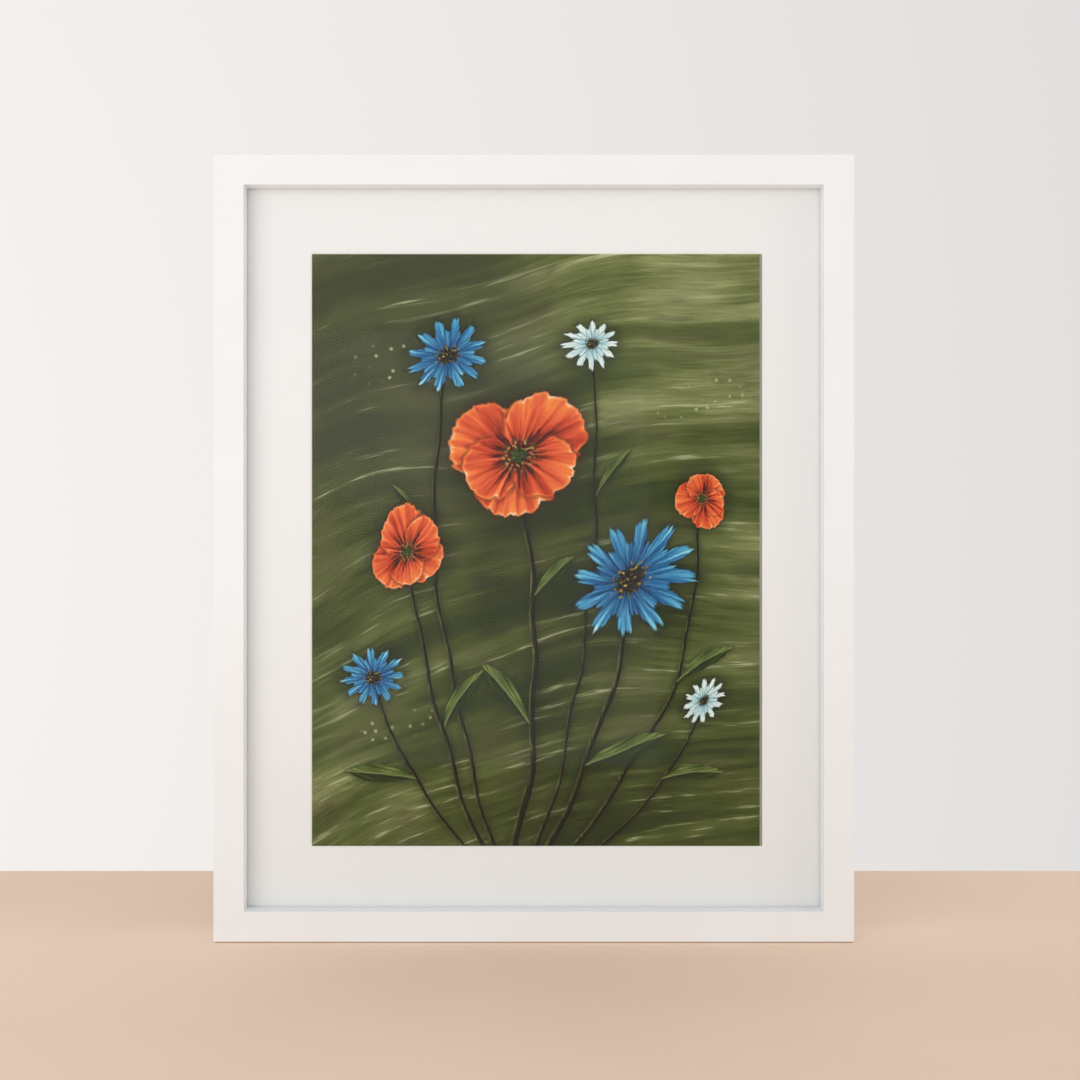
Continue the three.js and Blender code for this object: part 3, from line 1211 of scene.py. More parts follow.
    def leaves(self, graph: Graph, stencils: Stencils, place: Field, paint: Field) -> Field:
        """Draws pointed leaves, lighter on one side and along the rib.

        Args:
            graph: The graph.
            stencils: The stencils.
            place: Places with the hand's wobble.
            paint: The paint so far.

        Returns:
            The paint with them on it.
        """
        own, _ = self.nearest(graph, stencils, place, dict(enumerate(self.layout.leaves)))
        along = graph.math("MAXIMUM", own.part("X") + 0.5, -0.5)
        bent = own.part("Y") + along * along * 0.9
        inside = along * (1.0 - along) * (2.2 + along * 2.4) - abs(bent)
        veins = graph.noise(own, (0.5, 0.16, 1.0), detail=1.0, flat=True)
        tone = bent.step(-0.12, 0.12).scaled(0.34, 0.12) + veins.scaled(0.9, -0.36) + along * 0.16
        paint = graph.mix(paint, Wash.LEAF_SHADE.linear, inside.step(-0.5, 0.1) * 0.4)
        mask = inside.step(0.0, 0.16)
        paint = graph.mix(paint, graph.ramp(tone, Tones.LEAF.value), mask)
        return graph.mix(paint, Wash.LEAF_RIB.linear, mask * abs(bent).step(0.10, 0.03) * 0.55)

    def rosettes(self, graph: Graph, stencils: Stencils, place: Field, paint: Field) -> Field:
        """Draws the blue and the pale flowers, two rings of narrow petals and an eye each.

        Args:
            graph: The graph.
            stencils: The stencils.
            place: Places with the hand's wobble.
            paint: The paint so far.

        Returns:
            The paint with them on it.
        """
        spots = {0.37 * i: spot for i, spot in enumerate(self.layout.corn)}
        spots |= {10 + 0.37 * i: spot for i, spot in enumerate(self.layout.frost)}
        own, far = self.nearest(graph, stencils, place, spots)
        key = own.part("Z")
        pale = graph.math("GREATER_THAN", key, 5.0)
        around = graph.node("ShaderNodeTexGradient", {"Vector": own}, out="Fac", gradient_type="RADIAL")
        paint = graph.mix(paint, Wash.FLOWER_SHADE.linear, far.step(1.5, 0.7) * 0.55)
        for reach, shift, lift in ((1.0, 0.0, 0.0), (0.66, 0.5, -0.12)):
            out = far / reach
            wave = graph.math("PINGPONG", around.scaled(12.0, shift), 0.5) * 2.0
            polar = graph.node("ShaderNodeCombineXYZ", {"X": around + key, "Y": out, "Z": 0.0})
            hairs = graph.noise(polar, (0.012, 0.9 + shift, 1.0), detail=1.0, flat=True)
            inside = wave.step(0.0, 0.8).scaled(0.5, 0.5) + hairs.scaled(0.34, -0.17) - out
            tone = wave.scaled(0.26, 0.10 + lift) + out * 0.34 + hairs.scaled(0.85, -0.32)
            paint = graph.mix(paint, Wash.RING_SHADE.linear, inside.step(-0.22, 0.06) * 0.5)
            tint = graph.mix(graph.ramp(tone, Tones.CORN.value), graph.ramp(tone, Tones.FROST.value), pale)
            paint = graph.mix(paint, tint, inside.step(0.0, 0.10))
        grains = graph.noise(own, 0.07, detail=1.0, flat=True)
        core = (0.26 - far + grains.scaled(0.3, -0.15)).step(-0.02, 0.05)
        return graph.mix(paint, graph.ramp(grains.scaled(2.2, -0.75), Tones.EYE.value), core)

    def poppies(self, graph: Graph, stencils: Stencils, place: Field, paint: Field) -> Field:
        """Draws the broad flowers: their shade, their petals, a dark blotch, stamens and a seed head.

        Args:
            graph: The graph.
            stencils: The stencils.
            place: Places with the hand's wobble.
            paint: The paint so far.

        Returns:
            The paint with them on it.
        """
        spots = {0.61 * i: spot for i, spot in enumerate(self.layout.poppies)}
        keyed, far = self.nearest(graph, stencils, place, spots)
        own = graph.vector("MULTIPLY", keyed, FLAT)
        around = graph.node("ShaderNodeTexGradient", {"Vector": own}, out="Fac", gradient_type="RADIAL")
        polar = graph.node("ShaderNodeCombineXYZ", {"X": around + keyed.part("Z"), "Y": far, "Z": 0.0})
        folds = graph.noise(polar, (0.028, 1.1, 1.0), detail=2.0, rough=0.65, flat=True)
        paint = graph.mix(paint, Wash.FLOWER_SHADE.linear, far.step(1.45, 0.75) * 0.6)
        for angle, length, width in self.layout.petals:
            half = length / 2
            middle = (half * math.cos(angle), half * math.sin(angle), 0)
            paint = graph.use(
                stencils.petal, Paint=paint, Place=own, At=middle,
                Turn=(0, 0, angle), Size=(half * 1.04, half * width, 1), Folds=folds,
            )["Paint"]
        blotch = (far + folds.scaled(0.9, -0.45)).step(0.42, 0.2) * 0.85
        paint = graph.mix(paint, Wash.BLOTCH.linear, blotch)
        grains = graph.noise(own, 0.045, detail=1.0, flat=True)
        ring = (far + grains.scaled(0.4, -0.2)).step(0.34, 0.24) * far.step(0.09, 0.14)
        paint = graph.mix(paint, Wash.STAMEN.linear, ring * grains.step(0.58, 0.66) * 0.9)
        head = graph.ramp(grains.scaled(1.2, -0.2), Tones.LEAF.value)
        return graph.mix(paint, head, far.step(0.12, 0.09))


# ---- The modelling bench -----------------------------------------------------------------------------


class Bench:
    """Short calls for Blender's own modelling tools, each on one piece."""

    @staticmethod
    def clear() -> None:
        """Leaves edit mode and lets go of everything."""
        active = bpy.context.view_layer.objects.active
        if active is not None and active.mode != "OBJECT":
            bpy.ops.object.mode_set(mode="OBJECT")
        bpy.ops.object.select_all(action="DESELECT")

    @staticmethod
    def take(piece: Object) -> None:
        """Makes a piece the only one in hand.

        Args:
            piece: The piece.
        """
        Bench.clear()
        piece.select_set(True)
        bpy.context.view_layer.objects.active = piece

    @staticmethod
    def named(name: str) -> Object:
        """Names the piece that was just added and fixes its place in its mesh.

        Args:
            name: Its name.

        Returns:
            The piece.
        """
        piece = bpy.context.view_layer.objects.active
        piece.name = piece.data.name = name
        Bench.settle(piece)
        return piece

    @staticmethod
    def settle(piece: Object) -> None:
        """Moves a piece's place, turn and scale into its mesh."""
        Bench.take(piece)
        bpy.ops.object.transform_apply(location=True, rotation=True, scale=True)

    @staticmethod
    def block(name: str, low: Vector, high: Vector) -> Object:
        """Adds a block.

        Args:
            name: Its name.
            low: Its lowest corner.
            high: Its highest corner.

        Returns:
            The block.
        """
        Bench.clear()
        bpy.ops.mesh.primitive_cube_add(size=1.0, location=(low + high) / 2, scale=high - low)
        return Bench.named(name)

    @staticmethod
    def disc(name: str, radius: float, sides: int, fill: str = "NGON") -> Object:
        """Adds a flat disc or hoop that faces +Z at the origin.

        Args:
            name: Its name.
            radius: Its radius.
            sides: How many sides its outline has.
            fill: NGON for a disc and NOTHING for a hoop.

        Returns:
            The disc.
        """
        Bench.clear()
        bpy.ops.mesh.primitive_circle_add(vertices=sides, radius=radius, fill_type=fill)
        return Bench.named(name)

    @staticmethod
    def plug(radius: float, depth: float, at: Sequence[float], sides: int) -> Object:
        """Adds a closed cylinder along Y, for cutting a hole.

        Args:
            radius: Its radius.
            depth: Its length.
            at: Its middle.
            sides: How many sides it has.

        Returns:
            The plug.
        """
        Bench.clear()
        bpy.ops.mesh.primitive_cylinder_add(
            vertices=sides, radius=radius, depth=depth, location=at, rotation=(math.pi / 2, 0, 0)
        )
        return Bench.named("plug")

    @staticmethod
    @contextmanager
    def editing(piece: Object, mode: str = "FACE") -> Iterator[None]:
        """Opens a piece in edit mode with nothing selected, and closes it again.

        Args:
            piece: The piece.
            mode: What is selected in it, VERT, EDGE or FACE.

        Yields:
            Nothing, while the piece is open.
        """
        Bench.take(piece)
        bpy.ops.object.mode_set(mode="EDIT")
        bpy.ops.mesh.select_mode(type=mode)
        bpy.ops.mesh.select_all(action="DESELECT")
        yield
        bpy.ops.object.mode_set(mode="OBJECT")

    @staticmethod
    def pick(piece: Object, wanted: Callable[[Any], bool], kind: str = "faces") -> None:
        """Selects parts of a piece that is open in edit mode.

        Args:
            piece: The piece.
            wanted: Says whether a part is selected.
            kind: The kind of part, faces, edges or verts.
        """
        mesh = bmesh.from_edit_mesh(piece.data)
        mesh.normal_update()
        chosen = [part for part in getattr(mesh, kind) if wanted(part)]
        for part in mesh.verts[:] + mesh.edges[:] + mesh.faces[:]:
            part.select = False
        for part in chosen:
            part.select_set(True)
        mesh.select_flush_mode()
        bmesh.update_edit_mesh(piece.data)

    @staticmethod
    def inset(thickness: float) -> None:
        """Insets the selected face by an even width."""
        bpy.ops.mesh.inset(thickness=thickness, use_even_offset=True, use_relative_offset=False)

    @staticmethod
    def extrude(by: Sequence[float]) -> None:
        """Extrudes what is selected and moves the new part."""
        bpy.ops.mesh.extrude_region_move(TRANSFORM_OT_translate={"value": tuple(by)})

    @staticmethod
    def resize(by: Sequence[float], about: Sequence[float]) -> None:
        """Scales what is selected about a point."""
        bpy.ops.transform.resize(value=tuple(by), center_override=tuple(about))

    @staticmethod
    def spin(turn: float, steps: int, about: Vector, axis: Vector) -> None:
        """Sweeps what is selected round an axis."""
        bpy.ops.mesh.spin(steps=steps, angle=turn, center=tuple(about), axis=tuple(axis))

    @staticmethod
    def raise_rings(radius: float, rings: Sequence[tuple[float, float]]) -> None:
        """Extrudes the selected disc along Z, ring by ring.

        Args:
            radius: The disc's radius.
            rings: Each ring's radius and height.
        """
        height = 0.0
        for ring, level in rings:
            Bench.extrude((0, 0, level - height))
            Bench.resize((ring / radius, ring / radius, 1), (0, 0, level))
            radius, height = ring, level

    @staticmethod
    def cap(piece: Object) -> None:
        """Closes the foot of a drawn piece, at the height of its origin, and selects the new face."""
        Bench.pick(piece, lambda v: abs(v.co.z) < NEAR, "verts")
        bpy.ops.mesh.edge_face_add()

    @staticmethod
    def close(piece: Object, near: float = 0.001 * MM) -> None:
        """Merges doubled points and turns all faces outwards.

        Args:
            piece: The piece.
            near: How close two points are that count as one.
        """
        with Bench.editing(piece):
            bpy.ops.mesh.select_all(action="SELECT")
            bpy.ops.mesh.remove_doubles(threshold=near)
            bpy.ops.mesh.normals_make_consistent(inside=False)

    @staticmethod
    def modify(piece: Object, kind: str, **settings: Any) -> None:
        """Adds a modifier and applies it.

        Args:
            piece: The piece.
            kind: Blender's name for the modifier.
            **settings: Its settings.
        """
        Bench.take(piece)
        modifier = piece.modifiers.new(kind.lower(), kind)
        for name, value in settings.items():
            setattr(modifier, name, value)
        bpy.ops.object.modifier_apply(modifier=modifier.name)

    @staticmethod
    def ease(piece: Object, width: float, segments: int = 3, angle: float = 30.0) -> None:
        """Rounds every edge that is sharper than an angle in degrees."""
        Bench.modify(piece, "BEVEL", width=width, segments=segments, limit_method="ANGLE",
                     angle_limit=math.radians(angle), use_clamp_overlap=True)

    @staticmethod
    def smooth(piece: Object, angle: float = 40.0) -> None:
        """Shades a piece smooth except at sharp edges, with flat faces kept flat.

        Args:
            piece: The piece.
            angle: The angle in degrees above which an edge is sharp.
        """
        Bench.take(piece)
        bpy.ops.object.shade_smooth_by_angle(angle=math.radians(angle))
        Bench.modify(piece, "WEIGHTED_NORMAL", keep_sharp=True, weight=80)

    @staticmethod
    def cut(piece: Object, cutters: Sequence[Object]) -> None:
        """Cuts closed pieces out of a piece and clears them away.

        Args:
            piece: The piece.
            cutters: The closed pieces.
        """
        for cutter in cutters:
            Bench.modify(piece, "BOOLEAN", operation="DIFFERENCE", solver="EXACT", object=cutter)
            Bench.bin(cutter)

    @staticmethod
    def copied(piece: Object, name: str, place: Matrix) -> Object:
        """Copies a piece, mesh and all, to another place.

        Args:
            piece: The piece.
            name: The copy's name.
            place: Where the copy goes, from where the piece is.

        Returns:
            The copy.
        """
        copy = piece.copy()
        copy.data = piece.data.copy()
        copy.name = copy.data.name = name
        bpy.context.scene.collection.objects.link(copy)
        copy.matrix_world = place
        Bench.settle(copy)
        return copy

    @staticmethod
    def bin(piece: Object) -> None:
        """Clears a pattern or a cutter away."""
        bpy.data.objects.remove(piece, do_unlink=True)


# ---- Sub-assemblies ----------------------------------------------------------------------------------


@dataclass(frozen=True)
class Box:
    """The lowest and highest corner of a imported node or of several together."""

    low: Vector
    high: Vector

    @classmethod
    def of(cls, *nodes: str) -> "Box":
        """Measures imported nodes.

        Args:
            *nodes: Their names.

        Returns:
            The box round them all.
        """
        corners = [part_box(node) for node in nodes]
        low = Vector([min(box[0][i] for box in corners) for i in range(3)])
        high = Vector([max(box[1][i] for box in corners) for i in range(3)])
        return cls(low, high)

    def forward(self, gaps: int) -> "Box":
        """The box moved forward to close gaps between it and the pieces in front of it."""
        move = Vector((0, gaps * (SLIVER - GAP), 0))
        return Box(self.low + move, self.high + move)

    @property
    def middle(self) -> Vector:
        """The box's middle."""
        return (self.low + self.high) / 2

    @property
    def size(self) -> Vector:
        """The box's size along each axis."""
        return self.high - self.low


def facing(way: Vector, least: float = 0.9) -> Callable[[Any], bool]:
    """Makes a test of whether a face looks about one way.

    Args:
        way: The way.
        least: The smallest cosine between it and the face's normal.

    Returns:
        The test.
    """
    return lambda face: face.normal.dot(way) > least


class Finishes:
    """Makes each finish's material once."""

    def __init__(self) -> None:
        """Starts with none made."""
        self.made: dict[Finish, Material] = {}

    def material(self, finish: Finish) -> Material:
        """Finds the material of a finish.

        Args:
            finish: The finish.

        Returns:
            Its material, made at its first use.
        """
        if finish not in self.made:
            coat = Coat(finish.name)
            self.made[finish] = coat.finish(finish.make(coat))
        return self.made[finish]


@dataclass
class SubAssembly(ABC):
    """A few pieces that belong together."""

    finishes: Finishes

    @abstractmethod
    def build(self) -> None:
        """Models the pieces, dresses them and hands them over."""

    def hand_over(self, piece: Object, body: str, slot: Slot, nodes: Sequence[str], *finish: Finish,
                  choose: Callable[[Any], int] | None = None) -> Object:
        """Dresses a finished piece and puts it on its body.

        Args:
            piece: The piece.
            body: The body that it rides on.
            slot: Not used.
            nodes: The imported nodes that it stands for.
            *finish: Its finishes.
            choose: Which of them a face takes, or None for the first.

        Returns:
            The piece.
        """
        for each in finish:
            piece.data.materials.append(self.finishes.material(each))
        if choose is not None:
            for face in piece.data.polygons:
                face.material_index = choose(face)
        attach(piece, body)
        if nodes:
            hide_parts(*nodes)
        LOG.info("%s: %d faces, on %s", piece.name, len(piece.data.polygons), body)
        return piece


BODY = "frame"
RAILS = [f"rail_{side.label}" for side in Side]


@dataclass
class Moulding(SubAssembly):
    """The white frame. Its lacquer runs over the mitres, so that the four rails look like one piece."""

    lip: float = 13.8 * MM + GAP - SLIVER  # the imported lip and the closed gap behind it
    rebate: float = 5 * MM
    edge: float = 0.45 * MM
    bore: float = 1.8 * MM
    bore_depth: float = 13 * MM
    bore_sides: int = 24

    def build(self) -> None:
        """Hollows a block from the front and the back, rounds its edges and bores it."""
        box = Box.of(*RAILS)
        face = Box.of("rail_left").size.x
        depth = box.size.y
        piece = Bench.block("moulding", box.low, box.high)
        with Bench.editing(piece):
            Bench.pick(piece, facing(FRONT))
            Bench.inset(face)
            Bench.extrude((0, self.lip, 0))
            bpy.ops.mesh.delete(type="ONLY_FACE")
            Bench.pick(piece, facing(BACK))
            Bench.inset(face - self.rebate)
            Bench.extrude((0, self.lip - depth, 0))
            Bench.inset(self.rebate)
            bpy.ops.mesh.delete(type="ONLY_FACE")
        Bench.close(piece, near=NEAR)
        with Bench.editing(piece, "EDGE"):
            Bench.pick(piece, lambda e: self.eased(e, box), "edges")
            bpy.ops.mesh.bevel(offset=self.edge, segments=3, affect="EDGES", clamp_overlap=True)
        Bench.cut(piece, self.bores(box))
        Bench.smooth(piece)
        self.hand_over(
            piece, BODY, Slot.WHITE_PAINT, RAILS, SatinPaint(), PrimedWood(Axis.X), PrimedWood(Axis.Z),
            choose=lambda part: self.coat(part, box),
        )

    def eased(self, edge: bmesh.types.BMEdge, box: Box) -> bool:
        """Says whether an edge is rounded, as every sharp one is but those where the lip meets the pane."""
        sharp = edge.calc_face_angle(0.0) > math.radians(30)
        return sharp and any(abs(v.co.y - box.low.y - self.lip) > NEAR for v in edge.verts)

    @staticmethod
    def coat(part: bpy.types.MeshPolygon, box: Box) -> int:
        """Picks a face's finish: lacquer all over, but a thin coat along the grain behind.

        Args:
            part: The face.
            box: The moulding's box.

        Returns:
            0 for lacquer, 1 for wood that runs across and 2 for wood that runs up.
        """
        if part.center.y < box.high.y - NEAR:
            return 0
        return 2 if abs(part.center.x) > abs(part.center.z - box.middle.z) else 1

    def bores(self, box: Box) -> list[Object]:
        """Makes a plug for each screw's bore.

        Args:
            box: The moulding's box.

        Returns:
            The plugs.
        """
        plugs = []
        for name in (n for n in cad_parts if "screw" in n):
            at = Box.of(name).middle
            mouth = (at.x, box.high.y, at.z)
            plugs.append(Bench.plug(self.bore, 2 * self.bore_depth, mouth, self.bore_sides))
        return plugs


@dataclass
class CornerNails(SubAssembly):
    """Bent nails, pressed into the back across each mitre."""

    leg: float = 4.2 * MM
    thick: float = 0.45 * MM
    deep: float = 5 * MM
    proud: float = 0.08 * MM
    bend: float = math.radians(60)
    edge: float = 0.08 * MM
    shares: tuple[float, float] = (0.2, 0.8)

    def build(self) -> None:
        """Bends one nail and copies it across the four mitres."""
        box = Box.of(*RAILS)
        wall = Box.of("rail_left").size.x - Moulding.rebate
        pattern = self.pattern()
        for i, (across, up) in enumerate(((-1, -1), (1, -1), (1, 1), (-1, 1))):
            for j, share in enumerate(self.shares):
                corner = Vector((across * box.high.x, box.high.y, box.high.z if up > 0 else box.low.z))
                at = corner - Vector((across, 0, up)) * wall * share + Vector((0, self.proud, 0))
                turn = Matrix.Rotation(math.atan2(up, across) + self.bend / 2, 4, "Y").inverted()
                nail = Bench.copied(pattern, f"corner_nail_{i + 1}_{j + 1}", Matrix.Translation(at) @ turn)
                self.hand_over(nail, BODY, Slot.ZINC, (), STEEL)
        Bench.bin(pattern)

    def pattern(self) -> Object:
        """Makes one nail with its bend at the origin, one leg up Z and its head at the top of Y.

        Returns:
            The nail.
        """
        half = self.thick / 2
        nail = Bench.block("nail", Vector((-half, -self.deep, 0)), Vector((half, 0, self.leg)))
        with Bench.editing(nail):
            Bench.pick(nail, facing(DOWN))
            Bench.spin(-self.bend, 3, Vector((-half - self.thick, 0, 0)), Axis.Y.value)
            away = Vector((-math.sin(self.bend), 0, -math.cos(self.bend))) * self.leg
            Bench.extrude(away)
        Bench.close(nail)
        Bench.ease(nail, self.edge, segments=2)
        Bench.smooth(nail)
        return nail


@dataclass
class Pane(SubAssembly):
    """The clear sheet, with its ground edges."""

    edge: float = 0.25 * MM

    def build(self) -> None:
        """Cuts the sheet and grinds its edges."""
        box = Box.of("glazing")
        piece = Bench.block("clear_pane", box.low, box.high)
        Bench.ease(piece, self.edge, segments=2)
        Bench.smooth(piece)
        self.hand_over(piece, BODY, Slot.CLEAR_PANE, ["glazing"], ClearPane())


@dataclass
class MatBoard(SubAssembly):
    """The white mat with its bevelled window."""

    window: tuple[float, float] = (307.4 * MM, 404.2 * MM)
    right: float = 2.4 * MM
    down: float = 1.5 * MM
    margin: float = 30 * MM  # of the first cut, which is then stretched to the window
    edge: float = 0.09 * MM

    @cached_property
    def box(self) -> Box:
        """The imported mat's box."""
        return Box.of("mat_board").forward(1)

    @cached_property
    def middle(self) -> Vector:
        """The middle of the window, at the depth of the print's face."""
        rails = Box.of("rail_bottom", "rail_top").middle
        return Vector((self.right, Box.of("print_sheet").forward(2).low.y, rails.z - self.down))

    def build(self) -> None:
        """Cuts the window with slanted sides between the two faces."""
        box = self.box
        piece = Bench.block("window_mat", box.low, box.high)
        shift = self.middle - box.middle
        with Bench.editing(piece):
            for way in (FRONT, BACK):
                Bench.pick(piece, facing(way))
                Bench.inset(self.margin)
                grow = 2 * box.size.y if way is FRONT else 0.0
                old = (box.size.x - 2 * self.margin, box.size.z - 2 * self.margin)
                new = [length + grow for length in self.window]
                Bench.resize((new[0] / old[0], 1, new[1] / old[1]), box.middle)
                bpy.ops.transform.translate(value=(shift.x, 0, shift.z))
                bpy.ops.mesh.delete(type="ONLY_FACE")
            bpy.ops.mesh.select_mode(type="EDGE")
            Bench.pick(piece, lambda e: e.is_boundary, "edges")
            bpy.ops.mesh.bridge_edge_loops()
        Bench.close(piece)
        Bench.ease(piece, self.edge, segments=2)
        Bench.smooth(piece)
        front, back = facing(FRONT), facing(BACK)
        self.hand_over(piece, BODY, Slot.MAT_CARD, ["mat_board"], MatPaper(), MatCore(),
                       choose=lambda face: 0 if front(face) or back(face) else 1)


@dataclass
class Print(SubAssembly):
    """The painted print on its sheet of heavy paper."""

    middle: Vector
    front_share: float = 0.94  # of the map's width
    bare_share: float = 1 / 5  # of the map's height, for each of the five bare faces
    spare: float = 0.004

    def build(self) -> None:
        """Cuts the sheet and lays its face over nearly all of its map."""
        box = Box.of("print_sheet").forward(2)
        piece = Bench.block("art_print", box.low, box.high)
        self.lay_out(piece, box)
        front = facing(FRONT)
        self.hand_over(piece, BODY, Slot.ART_PRINT, ["print_sheet"], Painting(tuple(self.middle)), MatPaper(),
                       choose=lambda face: 0 if front(face) else 1)

    def lay_out(self, piece: Object, box: Box) -> None:
        """Gives the sheet its map: the face at the left and the five bare faces in a strip beside it.

        Args:
            piece: The sheet.
            box: Its box.
        """
        layer = piece.data.uv_layers[0] if piece.data.uv_layers else piece.data.uv_layers.new()
        layer.name = "OFBake"
        strip = (1 - self.front_share) - 2 * self.spare
        front = facing(FRONT)
        bare = 0
        for face in piece.data.polygons:
            flat = max(range(3), key=lambda i: abs(face.normal[i]))
            a, b = [i for i in range(3) if i != flat]
            if front(face):
                low, size = (self.spare, self.spare), (self.front_share - 2 * self.spare, 1 - 2 * self.spare)
            else:
                low = (self.front_share + self.spare, self.spare + bare * self.bare_share)
                size = (strip, self.bare_share - 2 * self.spare)
                bare += 1
            for loop in face.loop_indices:
                spot = piece.data.vertices[piece.data.loops[loop].vertex_index].co
                along = (spot[a] - box.low[a]) / box.size[a]
                up = (spot[b] - box.low[b]) / box.size[b]
                layer.data[loop].uv = (low[0] + along * size[0], low[1] + up * size[1])


@dataclass(frozen=True)
class Sheet:
    """What a board is cut from and how its edges are eased."""

    slot: Slot
    finish: BoardPaper
    edge: float
    gaps: int = 0  # in front of it, which are closed


@dataclass
class Backing(SubAssembly):
    """The grey board, the four spacer strips and the hardboard that close the frame behind."""

    grey: Sheet = Sheet(
        Slot.GREY_BOARD,
        BoardPaper("GreyBoard", "a7aca3", "8b9088", "c2c5bd"),
        0.12 * MM,
        gaps=3,
    )
    strip: Sheet = Sheet(
        Slot.FIBRE_STRIP,
        BoardPaper("FibreStrip", "b08f66", "8a6a45", "c9ad86", fleck=1.0 * MM),
        0.25 * MM,
    )
    brown: Sheet = Sheet(
        Slot.HARDBOARD,
        BoardPaper("Hardboard", "8d6a47", "775638", "997651", fleck=1.1 * MM, depth=0.04 * MM,
                   roughness=0.72),
        0.35 * MM,
    )

    def build(self) -> None:
        """Cuts each board and strip."""
        self.board("grey_backing", "mount_board", self.grey)
        for side in Side:
            self.board(f"spacer_strip_{side.label}", f"spacer_{side.label}", self.strip)
        self.board("hardboard_back", "back_board", self.brown)

    def board(self, name: str, node: str, sheet: Sheet) -> None:
        """Cuts one board and eases its edges.

        Args:
            name: The piece's name.
            node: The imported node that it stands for.
            sheet: What it is cut from.
        """
        box = Box.of(node).forward(sheet.gaps)
        piece = Bench.block(name, box.low, box.high)
        Bench.ease(piece, sheet.edge, segments=2)
        Bench.smooth(piece)
        self.hand_over(piece, BODY, sheet.slot, [node], sheet.finish)


NICKEL = BrushedPlate("BrushedNickel", "bcb9b1", "a5a198", 0.24)
ZINC = BrushedPlate("BrightZinc", "ccd0d4", "d6cfae", 0.26, brush=0.18 * MM, streak=1.5 * MM)
STEEL = BrushedPlate("BlueSteel", "8a8c90", "6f7074", 0.38)


@dataclass(frozen=True)
class ScrewSizes:
    """A pan-head screw with a cross recess, drawn with its head towards +Z and its seat at the origin."""

    head: float = 3.2 * MM
    rise: float = 2 * MM
    shank: float = 1.5 * MM
    root: float = 1.1 * MM
    length: float = 12 * MM
    neck: float = 0.8 * MM
    pitch: float = 1.1 * MM
    point: float = 0.15 * MM
    recess: tuple[float, float, float] = (3.5 * MM, 0.8 * MM, 1.1 * MM)
    taper: float = 0.6  # of the recess, from its mouth to its bottom
    sides: int = 32
    dome: tuple[Place, ...] = (  # rings, in shares of the head's radius and rise
        (1.0, 0.35), (0.97, 0.52), (0.88, 0.72), (0.72, 0.87), (0.5, 0.96), (0.26, 1.0),
    )

    def thread(self) -> list[Place]:
        """Lists the rings of the shank, from the seat to the point.

        Returns:
            Each ring's radius and height.
        """
        # One turn's rings: each one's radius and its share of the pitch.
        groove = ((self.root, 0.25), (self.root, 0.55), (self.shank, 0.9), (self.shank, 1.0))
        rings = [(self.shank, 0.0), (self.shank, -self.neck)]
        depth = self.neck
        while depth + self.pitch < self.length - 2 * self.shank:
            rings += [(radius, -(depth + share * self.pitch)) for radius, share in groove]
            depth += self.pitch
        return [*rings, (self.point, -self.length)]

    def pattern(self) -> Object:
        """Draws the head up from a disc and the thread down from it, then presses the recess.

        Returns:
            The screw.
        """
        piece = Bench.disc("screw", self.head, self.sides)
        with Bench.editing(piece):
            Bench.pick(piece, lambda f: True)
            Bench.raise_rings(self.head, [(self.head * across, self.rise * up) for across, up in self.dome])
            Bench.cap(piece)
            Bench.raise_rings(self.head, self.thread())
        Bench.close(piece)
        Bench.cut(piece, self.recess_cutters())
        Bench.smooth(piece, 35)
        return piece

    def recess_cutters(self) -> list[Object]:
        """Makes the two crossed blades of the recess, narrower at the bottom.

        Returns:
            The blades.
        """
        long, wide, deep = self.recess
        blades = []
        for sizes in ((long, wide), (wide, long)):
            low = Vector((-sizes[0] / 2, -sizes[1] / 2, self.rise - deep))
            high = Vector((sizes[0] / 2, sizes[1] / 2, self.rise + deep))
            blade = Bench.block("blade", low, high)
            with Bench.editing(blade):
                Bench.pick(blade, facing(DOWN))
                Bench.resize((self.taper, self.taper, 1), (0, 0, low.z))
            blades.append(blade)
        return blades


def seat(node: str, at: Vector, turn: float = 0.0) -> Matrix:
    """The place of a fitting that is drawn with its back at the origin and its front towards +Z.

    Args:
        node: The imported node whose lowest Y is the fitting's back.
        at: The fitting's own point on the frame, of which X and Z count.
        turn: Its turn in degrees about the way that it faces.

    Returns:
        The place on the back of the frame.
    """
    back = Vector((at.x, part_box(node)[0].y, at.z))
    face_back = Matrix.Rotation(-math.pi / 2, 4, "X")
    return Matrix.Translation(back) @ Matrix.Rotation(math.radians(turn), 4, "Y") @ face_back


def screw_seat(node: str, turn: float) -> Matrix:
    """The place of a screw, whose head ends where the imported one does.

    Args:
        node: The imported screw.
        turn: How far it was driven round, in degrees.

    Returns:
        The place on the back of the frame.
    """
    place = seat(node, Box.of(node).middle, turn)
    place.translation.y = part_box(node)[1].y - ScrewSizes.rise
    return place


